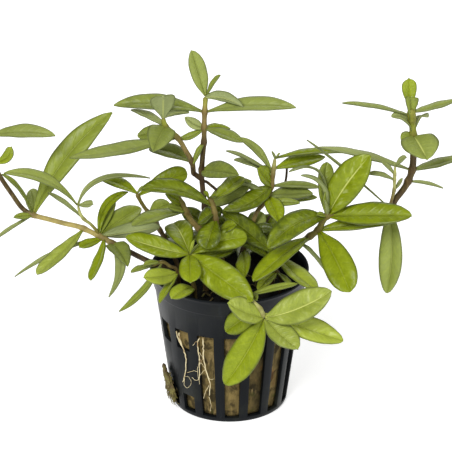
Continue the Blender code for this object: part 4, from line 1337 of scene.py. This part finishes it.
    def build_tuft(self, finish: bpy.types.Material) -> None:
        """Model the felted tuft from a ball that is pulled over the wall."""
        deselect()
        bpy.ops.mesh.primitive_ico_sphere_add(subdivisions=5, radius=1.0)
        tuft = name_new("felted_tuft")
        ball = read_places(tuft)
        places = []
        for x, y, z in ball:
            ripple = 1.0 + 0.2 * math.sin(5.0 * x + 2.0) * math.cos(7.0 * z)
            angle = self.tuft_angle + 10.0 * x * ripple - 3.0 * z
            height = self.tuft_height + 6.4 * z * ripple
            point = np.array(self.pot.wall_point(angle, height, 0.0))
            outward = point * (1, 1, 0) / np.linalg.norm(point[:2])
            places.append(point + outward * (1.2 + 0.9 * y * ripple + 0.5 * z))
        write_places(tuft, np.array(places) * MM)
        pick(tuft)
        bpy.ops.object.mode_set(mode="EDIT")
        bpy.ops.mesh.select_all(action="SELECT")
        bpy.ops.mesh.normals_make_consistent(inside=False)
        bpy.ops.object.mode_set(mode="OBJECT")
        clouds = bpy.data.textures.new("felt", "CLOUDS")
        clouds.noise_scale = 0.0012
        apply_modifier(tuft, "DISPLACE", texture=clouds, texture_coords="LOCAL", mid_level=0.5,
                       strength=0.9 * MM)
        bpy.ops.object.shade_smooth()
        chance = random.Random(7)
        parts = [tuft]
        for number in range(self.fibres):
            angle = self.tuft_angle + chance.uniform(-9.0, 12.0)
            height = chance.uniform(3.6, 15.0)
            fall, turn = chance.uniform(0.8, 3.4), chance.uniform(-5.0, 7.0)
            stations = ((angle, height, 1.2), (angle + turn * 0.5, height - fall * 0.3, 2.0),
                        (angle + turn, max(height - fall, 0.7), chance.uniform(0.6, 2.4)))
            parts.append(self.strand(f"fibre_{number}", stations, 0.16, 0.07, 0.12))
        dress(join(parts, "felted_tuft"), finish, "root_tuft", "root_tuft")


# The plant

@dataclass(frozen=True)
class StemTint:
    """Colours along a stem, each with its place from 0 at the foot to 1 at the tip."""

    stops: tuple

    def at(self, along: np.ndarray) -> np.ndarray:
        """Colours at places from 0 at the foot to 1 at the tip, one row for each."""
        places = [place for place, colour in self.stops]
        colours = np.array([colour for place, colour in self.stops])
        return np.stack([np.interp(along, places, colours[:, part]) for part in range(4)], axis=1)


DARK_BROWN = srgb(56, 40, 26)
BROWN = srgb(92, 77, 42)
OLIVE = srgb(108, 102, 42)
TAN = srgb(166, 151, 88)
RUSSET = srgb(122, 106, 60)
GREEN = srgb(138, 146, 50)
MAROON = srgb(68, 54, 28)
PALE_GREEN = srgb(166, 168, 100)
DEAD_TINT = StemTint(((0.0, DARK_BROWN), (1.0, DARK_BROWN)))
STEM_TINTS = {
    "middle": StemTint(((0.62, DARK_BROWN), (0.74, RUSSET), (0.88, RUSSET), (1.0, GREEN))),
    "left_branch": StemTint(((0.1, DARK_BROWN), (0.4, RUSSET), (0.6, OLIVE), (0.9, GREEN))),
    "runner_left": StemTint(((0.2, DARK_BROWN), (0.32, TAN), (0.54, TAN), (0.6, MAROON))),
    "runner_right": StemTint(((0.12, DARK_BROWN), (0.25, OLIVE), (0.47, OLIVE), (0.55, MAROON),
                              (0.82, MAROON), (0.92, GREEN))),
    "right_inner": StemTint(((0.1, DARK_BROWN), (0.4, RUSSET), (0.88, RUSSET), (1.0, PALE_GREEN))),
    "twig_middle": DEAD_TINT,
    "twig_right": DEAD_TINT,
    "shoot_left": StemTint(((0.0, OLIVE), (0.4, PALE_GREEN))),
    "shoot_right": StemTint(((0.1, BROWN), (0.5, PALE_GREEN))),
    "left_front": StemTint(((0.1, DARK_BROWN), (0.45, RUSSET), (0.9, OLIVE))),
    "rosette": StemTint(((0.1, DARK_BROWN), (0.5, OLIVE), (0.85, GREEN))),
    "front_shoot": StemTint(((0.1, DARK_BROWN), (0.35, OLIVE), (0.7, PALE_GREEN))),
}
USUAL_TINT = StemTint(((0.15, DARK_BROWN), (0.5, BROWN), (0.9, OLIVE)))


@dataclass(frozen=True)
class Stalks:
    """The stems: soft tubes that thicken where leaves sit."""

    step: float = 0.5
    slimness: float = 0.96
    swelling: float = 0.3
    swelling_length: float = 1.1
    rounding: tuple = (0.92, 0.8, 0.6, 0.3)

    def centre(self, stem: Stem, place: float) -> np.ndarray:
        """Point on a stem's smooth centre line."""
        return through(np.array(stem.route, float), np.array([place]))[0]

    def radius(self, stem: Stem, place: float | np.ndarray) -> float | np.ndarray:
        """Radius of a stem without its swellings."""
        growth = stem.tip_radius - stem.base_radius
        return stem.base_radius + growth * place / (len(stem.route) - 1)

    def build(self, stem: Stem, finish: bpy.types.Material) -> bpy.types.Object:
        """Make one stem.

        Args:
            stem: The stem's plan.
            finish: The stem's material.

        Returns:
            The stem.
        """
        points = np.array(stem.route, float)
        length = float(np.linalg.norm(np.diff(points, axis=0), axis=1).sum())
        places = np.linspace(0.0, len(points) - 1.0, max(int(length / self.step), 8))
        route = through(points, places)
        if stem.heel:
            route = np.vstack((stem.heel, route))
            places = np.insert(places, 0, 0.0)
        joint = np.zeros(len(route))
        for leaf in LEAVES + SMALL_LEAVES + INNER_LEAVES:
            if leaf.stem == stem.name:
                away = np.linalg.norm(route - self.centre(stem, leaf.node), axis=1)
                joint = np.maximum(joint, np.exp(-(away / self.swelling_length) ** 2))
        share = places / (len(points) - 1)
        radii = self.radius(stem, places) * (self.slimness + self.swelling * joint)
        radii[-len(self.rounding):] *= self.rounding
        piece = tube("stalk_" + stem.name, route, radii, 3)
        corners = read_places(piece) / MM
        nearest = np.argmin(np.linalg.norm(corners[:, None] - route[None], axis=2), axis=1)
        write_attribute(piece, "joint", joint[nearest])
        colours = STEM_TINTS.get(stem.name, USUAL_TINT).at(share[nearest])
        layer = piece.data.attributes.new("tint", "FLOAT_COLOR", "POINT")
        layer.data.foreach_set("color", np.ascontiguousarray(colours, np.float32).ravel())
        solids = ("stem_" + stem.name,) if stem in STEMS else ()
        dress(piece, finish, "stem", *solids)
        return piece


def width_share(form: Form, along: np.ndarray) -> np.ndarray:
    """Share of a blade's full width at places along it.

    Args:
        form: The blade's outline.
        along: Places from 0 at the foot to 1 at the tip.

    Returns:
        The share at each place.
    """
    places = np.array([place for place, width in form.value])
    widths = np.array([[width, 0.0, 0.0] for place, width in form.value])
    counted = np.interp(along, places, np.arange(len(places), dtype=float))
    return np.clip(through(widths, counted)[:, 0], 0.03, 1.0)


def listed(leaf: Leaf, names: tuple) -> bool:
    """Whether a leaf is in a list of large leaves' names and small leaves' stem.names."""
    return leaf.name in names and leaf in LEAVES or leaf.stem + "." + leaf.name in names


@dataclass(frozen=True)
class Blades:
    """The leaves: folded, arched blades, all bent from a few flat ones."""

    stalks: Stalks
    rows: int = 36
    lines: tuple = (-1.0, -0.76, -0.5, -0.24, -0.07, 0.0, 0.07, 0.24, 0.5, 0.76, 1.0)
    fold: float = 12.0
    thickness: float = 0.36
    foot: float = 0.42
    bud_length: float = 14.0
    twist: float = 7.0
    bulge: float = 0.1
    groove: float = 0.1
    groove_width: float = 0.12
    groove_limit: float = 1.6
    ripple: float = 0.018
    waves: tuple = (2.2, 3.4)
    wave_lag: tuple = (0.4, 1.4)
    tone_spread: float = 0.06
    aside: float = 10.0  # how far lines that are already moved stand off from the others

    def flat(self, form: Form) -> bpy.types.Object:
        """Model a flat blade, 1 long and 1 wide, from a grid whose rows are drawn in to an outline.

        Args:
            form: Its outline.

        Returns:
            The flat blade, with its UV map along and across it.
        """
        deselect()
        columns = len(self.lines) - 1
        bpy.ops.mesh.primitive_grid_add(x_subdivisions=self.rows, y_subdivisions=columns, size=1.0,
                                        location=(0.5, 0.0, 0.0))
        blade = name_new("flat_" + form.name.lower())
        settle(blade)
        for index, line in enumerate(self.lines):
            old = index / columns - 0.5
            select_parts(blade, "VERT", lambda place: abs(place.y - old) < 0.001)
            bpy.ops.transform.translate(value=(0.0, line / 2.0 - old + self.aside, 0.0))
        select_parts(blade, "VERT", lambda place: True)
        bpy.ops.transform.translate(value=(0.0, -self.aside, 0.0))
        deselect()
        mesh = blade.data
        for loop in mesh.loops:
            corner = mesh.vertices[loop.vertex_index].co
            mesh.uv_layers[0].data[loop.index].uv = (corner.x, corner.y + 0.5)
        mesh.uv_layers[0].name = "UVMap"
        shares = width_share(form, np.arange(self.rows + 1) / self.rows)
        for row, share in enumerate(shares):
            along = row / self.rows
            select_parts(blade, "VERT", lambda place: abs(place.x - along) < 0.001)
            bpy.ops.transform.resize(value=(1.0, float(share), 1.0),
                                     center_override=(along, 0.0, 0.0))
        deselect()
        blade.hide_render = True
        return blade

    def bend(self, flat: bpy.types.Object, form: Form, leaf: Leaf, base: np.ndarray,
             tip: np.ndarray, name: str) -> bpy.types.Object:
        """Copy a flat blade and bend it to one leaf's plan.

        Args:
            flat: The flat blade.
            form: Its outline.
            leaf: The leaf's plan.
            base: Where it starts, in millimetres.
            tip: Where it ends, in millimetres.
            name: Name of the piece.

        Returns:
            The bent leaf, with its thickness and its attributes.
        """
        piece = flat.copy()
        piece.data = flat.data.copy()
        piece.name = name
        piece.data.name = name
        piece.hide_render = False
        bpy.context.scene.collection.objects.link(piece)
        chance = random.Random(leaf.stem + "." + leaf.name)
        corners = read_places(piece)
        u = corners[:, 0:1]
        share = width_share(form, corners[:, 0])[:, None]
        v = corners[:, 1:2] * 2.0 / share
        bow = np.array(leaf.bow, float)
        reach = tip - base
        along = unit(reach + bow * 4.0 * (1.0 - 2.0 * u))
        normal = self.face_normal(reach, leaf.lean)
        twist = math.radians(chance.uniform(-self.twist, self.twist)) * (u * 2.0 - 1.0)
        across = unit(np.cross(normal, along))
        facing = unit(np.cross(along, across))
        turned = across * np.cos(twist) + facing * np.sin(twist)
        facing = facing * np.cos(twist) - across * np.sin(twist)
        half = np.maximum(leaf.width * share / 2.0, self.foot * (1.0 - u))
        centre = base + reach * u + bow * 4.0 * u * (1.0 - u)
        size = np.abs(v)
        rise = half * math.tan(math.radians(self.fold)) * size
        bulge = half * self.bulge * np.sin(math.pi * size)
        groove = self.groove * np.exp(-(v / self.groove_width) ** 2)
        groove = groove * np.minimum(half, self.groove_limit)
        waves = chance.uniform(*self.waves)
        phase = math.tau * (waves * u + chance.random())
        phase = phase + np.sign(v) * chance.uniform(*self.wave_lag)
        ripple = leaf.width * self.ripple * size ** 2 * np.sin(math.pi * u) * np.sin(phase)
        lift = rise + bulge - groove + ripple
        write_places(piece, (centre + turned * half * v + facing * lift) * MM)
        top_count = len(piece.data.vertices)
        apply_modifier(piece, "SOLIDIFY", thickness=self.thickness * MM, offset=-1.0)
        count = len(piece.data.vertices)
        under = (np.arange(count) >= top_count).astype(float)
        write_attribute(piece, "underside", under)
        tone, bloom = self.tone(leaf).value
        tone += chance.uniform(-self.tone_spread, self.tone_spread)
        looks = {"tone": tone, "bloom": bloom, "ribbed": float(listed(leaf, RIBBED)),
                 "shiny": float(listed(leaf, PAINTED_SHEEN_LEAVES))}
        for look, number in looks.items():
            write_attribute(piece, look, np.full(count, number))
        bpy.ops.object.shade_smooth()
        return piece

    def tone(self, leaf: Leaf) -> Tone:
        """Look of a leaf's upper face."""
        return next((tone for tone, names in LEAF_TONES.items() if listed(leaf, names)), Tone.PLAIN)

    def form(self, leaf: Leaf) -> Form:
        """Outline of a leaf."""
        half_grown = Vector(leaf.reach).length >= self.bud_length
        young = Form.HALF_GROWN if half_grown else Form.BUDDING
        usual = Form.ELLIPTIC if leaf in LEAVES else young
        return next((form for form, names in LEAF_FORMS.items() if listed(leaf, names)), usual)

    def face_normal(self, reach: np.ndarray, lean: float) -> np.ndarray:
        """Direction of a blade's upper face.

        Args:
            reach: From the blade's base to its tip.
            lean: Degrees that it is turned towards the front.

        Returns:
            The direction.
        """
        along = Vector(reach).normalized()
        upward = (UP - along * UP.dot(along)).normalized()
        sideways = along.cross(UP).normalized()
        if sideways.y > 0.0:
            sideways = -sideways
        turn = math.radians(lean)
        return np.array(upward * math.cos(turn) + sideways * math.sin(turn))

    def build_large(self, leaf: Leaf, stem: Stem, flats: dict[Form, bpy.types.Object],
                    finish: bpy.types.Material) -> None:
        """Make one large leaf.

        Args:
            leaf: The leaf's plan.
            stem: The stem that carries it.
            flats: The flat blade of each outline.
            finish: The leaf's material.
        """
        base = self.stalks.centre(stem, leaf.node)
        tip = self.straight(stem, leaf.node) + np.array(leaf.reach, float)
        base = base + unit(tip - base) * self.stalks.radius(stem, leaf.node) * 0.5
        form = self.form(leaf)
        piece = self.bend(flats[form], form, leaf, base, tip, "blade_" + leaf.name)
        dress(piece, finish, "leaf", "leaf_" + leaf.name)

    def straight(self, stem: Stem, place: float) -> np.ndarray:
        """Point on the straight lines between a stem's route points."""
        points = np.array(stem.route, float)
        lower = min(int(place), len(points) - 2)
        return points[lower] + (points[lower + 1] - points[lower]) * (place - lower)

    def build_small(self, stem: Stem, flats: dict[Form, bpy.types.Object],
                    finish: bpy.types.Material) -> None:
        """Make the small leaves of one stem as one piece.

        Args:
            stem: The stem.
            flats: The flat blade of each outline.
            finish: The leaf's material.
        """
        made = []
        for leaf in SMALL_LEAVES + INNER_LEAVES:
            if leaf.stem == stem.name:
                form = self.form(leaf)
                base = self.stalks.centre(stem, leaf.node)
                tip = self.straight(stem, leaf.node) + np.array(leaf.reach, float)
                made.append(self.bend(flats[form], form, leaf, base, tip, "young"))
        if made:
            piece = join(made, "young_leaves_" + stem.name)
            dress(piece, finish, "leaf", "stem_" + stem.name)


# The studio

@dataclass(frozen=True)
class Lamp:
    """Soft square light: its place and its side in metres, and its power in watts."""

    name: str
    place: Point
    size: float
    power: float


@dataclass(frozen=True)
class Studio:
    """Pale floor, soft light and the camera."""

    target: Point = (-1.2, 0.0, 66.0)
    distance: float = 1250.0
    elevation: float = 26.0
    lens: float = 289.7
    floor_size: float = 12.0
    sensor_width: float = 36.0
    sight: float = 50.0
    room_light: float = 0.38
    lamps: tuple = (Lamp("key", (-0.5, -1.35, 1.25), 0.6, 27.0),
                    Lamp("side", (1.3, -0.8, 0.8), 0.6, 7.0),
                    Lamp("back", (0.3, 1.3, 1.2), 0.9, 8.0))

    def lay_floor(self) -> None:
        """Lay the flat floor."""
        deselect()
        bpy.ops.mesh.primitive_plane_add(size=self.floor_size)
        floor = name_new("studio_floor")
        floor.data.materials.append(FloorFinish().make())

    def hang(self, lamp: Lamp) -> None:
        """Hang one lamp so that it looks at the plant."""
        bpy.ops.object.light_add(type="AREA", location=lamp.place)
        light = bpy.context.object
        light.name = lamp.name
        light.data.size = lamp.size
        light.data.energy = lamp.power
        aim = Vector(self.target) * MM - Vector(lamp.place)
        light.rotation_euler = aim.to_track_quat("-Z", "Y").to_euler()

    def light_up(self) -> None:
        """Set the soft lights and the pale surroundings."""
        world = bpy.data.worlds.new("pale_room")
        world.use_nodes = True
        background = world.node_tree.nodes["Background"]
        background.inputs["Color"].default_value = (1.0, 1.0, 1.0, 1.0)
        background.inputs["Strength"].default_value = self.room_light
        bpy.context.scene.world = world
        for lamp in self.lamps:
            self.hang(lamp)

    def set_camera(self) -> None:
        """Set the camera at the photograph's angle."""
        rise = math.radians(self.elevation)
        back = Vector((0.0, -math.cos(rise), math.sin(rise)))
        place = (Vector(self.target) + back * self.distance) * MM
        bpy.ops.object.camera_add(location=place, rotation=(math.pi / 2.0 - rise, 0.0, 0.0))
        camera = bpy.context.object
        camera.data.lens = self.lens
        camera.data.sensor_width = self.sensor_width
        camera.data.clip_end = self.sight
        bpy.context.scene.camera = camera
        bpy.context.scene.view_settings.view_transform = "Standard"


def build_all() -> None:
    """Build the pot, what it holds, the plant and the studio, in that order."""
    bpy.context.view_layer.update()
    pot = NetPot()
    pot.build(PotFinish().make())
    RockWool(pot).build(WoolFinish().make())
    roots = Roots(pot)
    roots.build(RootFinish().make())
    tuft_finish = TuftFinish().make()
    roots.build_tuft(tuft_finish)
    roots.build_scraps(tuft_finish)
    stalks = Stalks()
    blades = Blades(stalks)
    stem_finish = StemFinish().make()
    leaf_finish = LeafFinish().make()
    flats = {form: blades.flat(form) for form in Form}
    stems = {stem.name: stem for stem in STEMS}
    for stem in STEMS:
        stalks.build(stem, stem_finish)
        blades.build_small(stem, flats, leaf_finish)
    for twig in TWIGS:
        stalks.build(twig, stem_finish)
    for leaf in LEAVES:
        blades.build_large(leaf, stems[leaf.stem], flats, leaf_finish)
    for flat in flats.values():
        bpy.data.objects.remove(flat, do_unlink=True)
    studio = Studio()
    studio.lay_floor()
    studio.light_up()
    studio.set_camera()
    deselect()
    bpy.context.view_layer.update()


def main() -> None:
    """Build the scene and report its pieces."""
    logging.basicConfig(level=logging.INFO, format="%(name)s %(message)s")
    build_all()


if __name__ == "__main__":
    main()
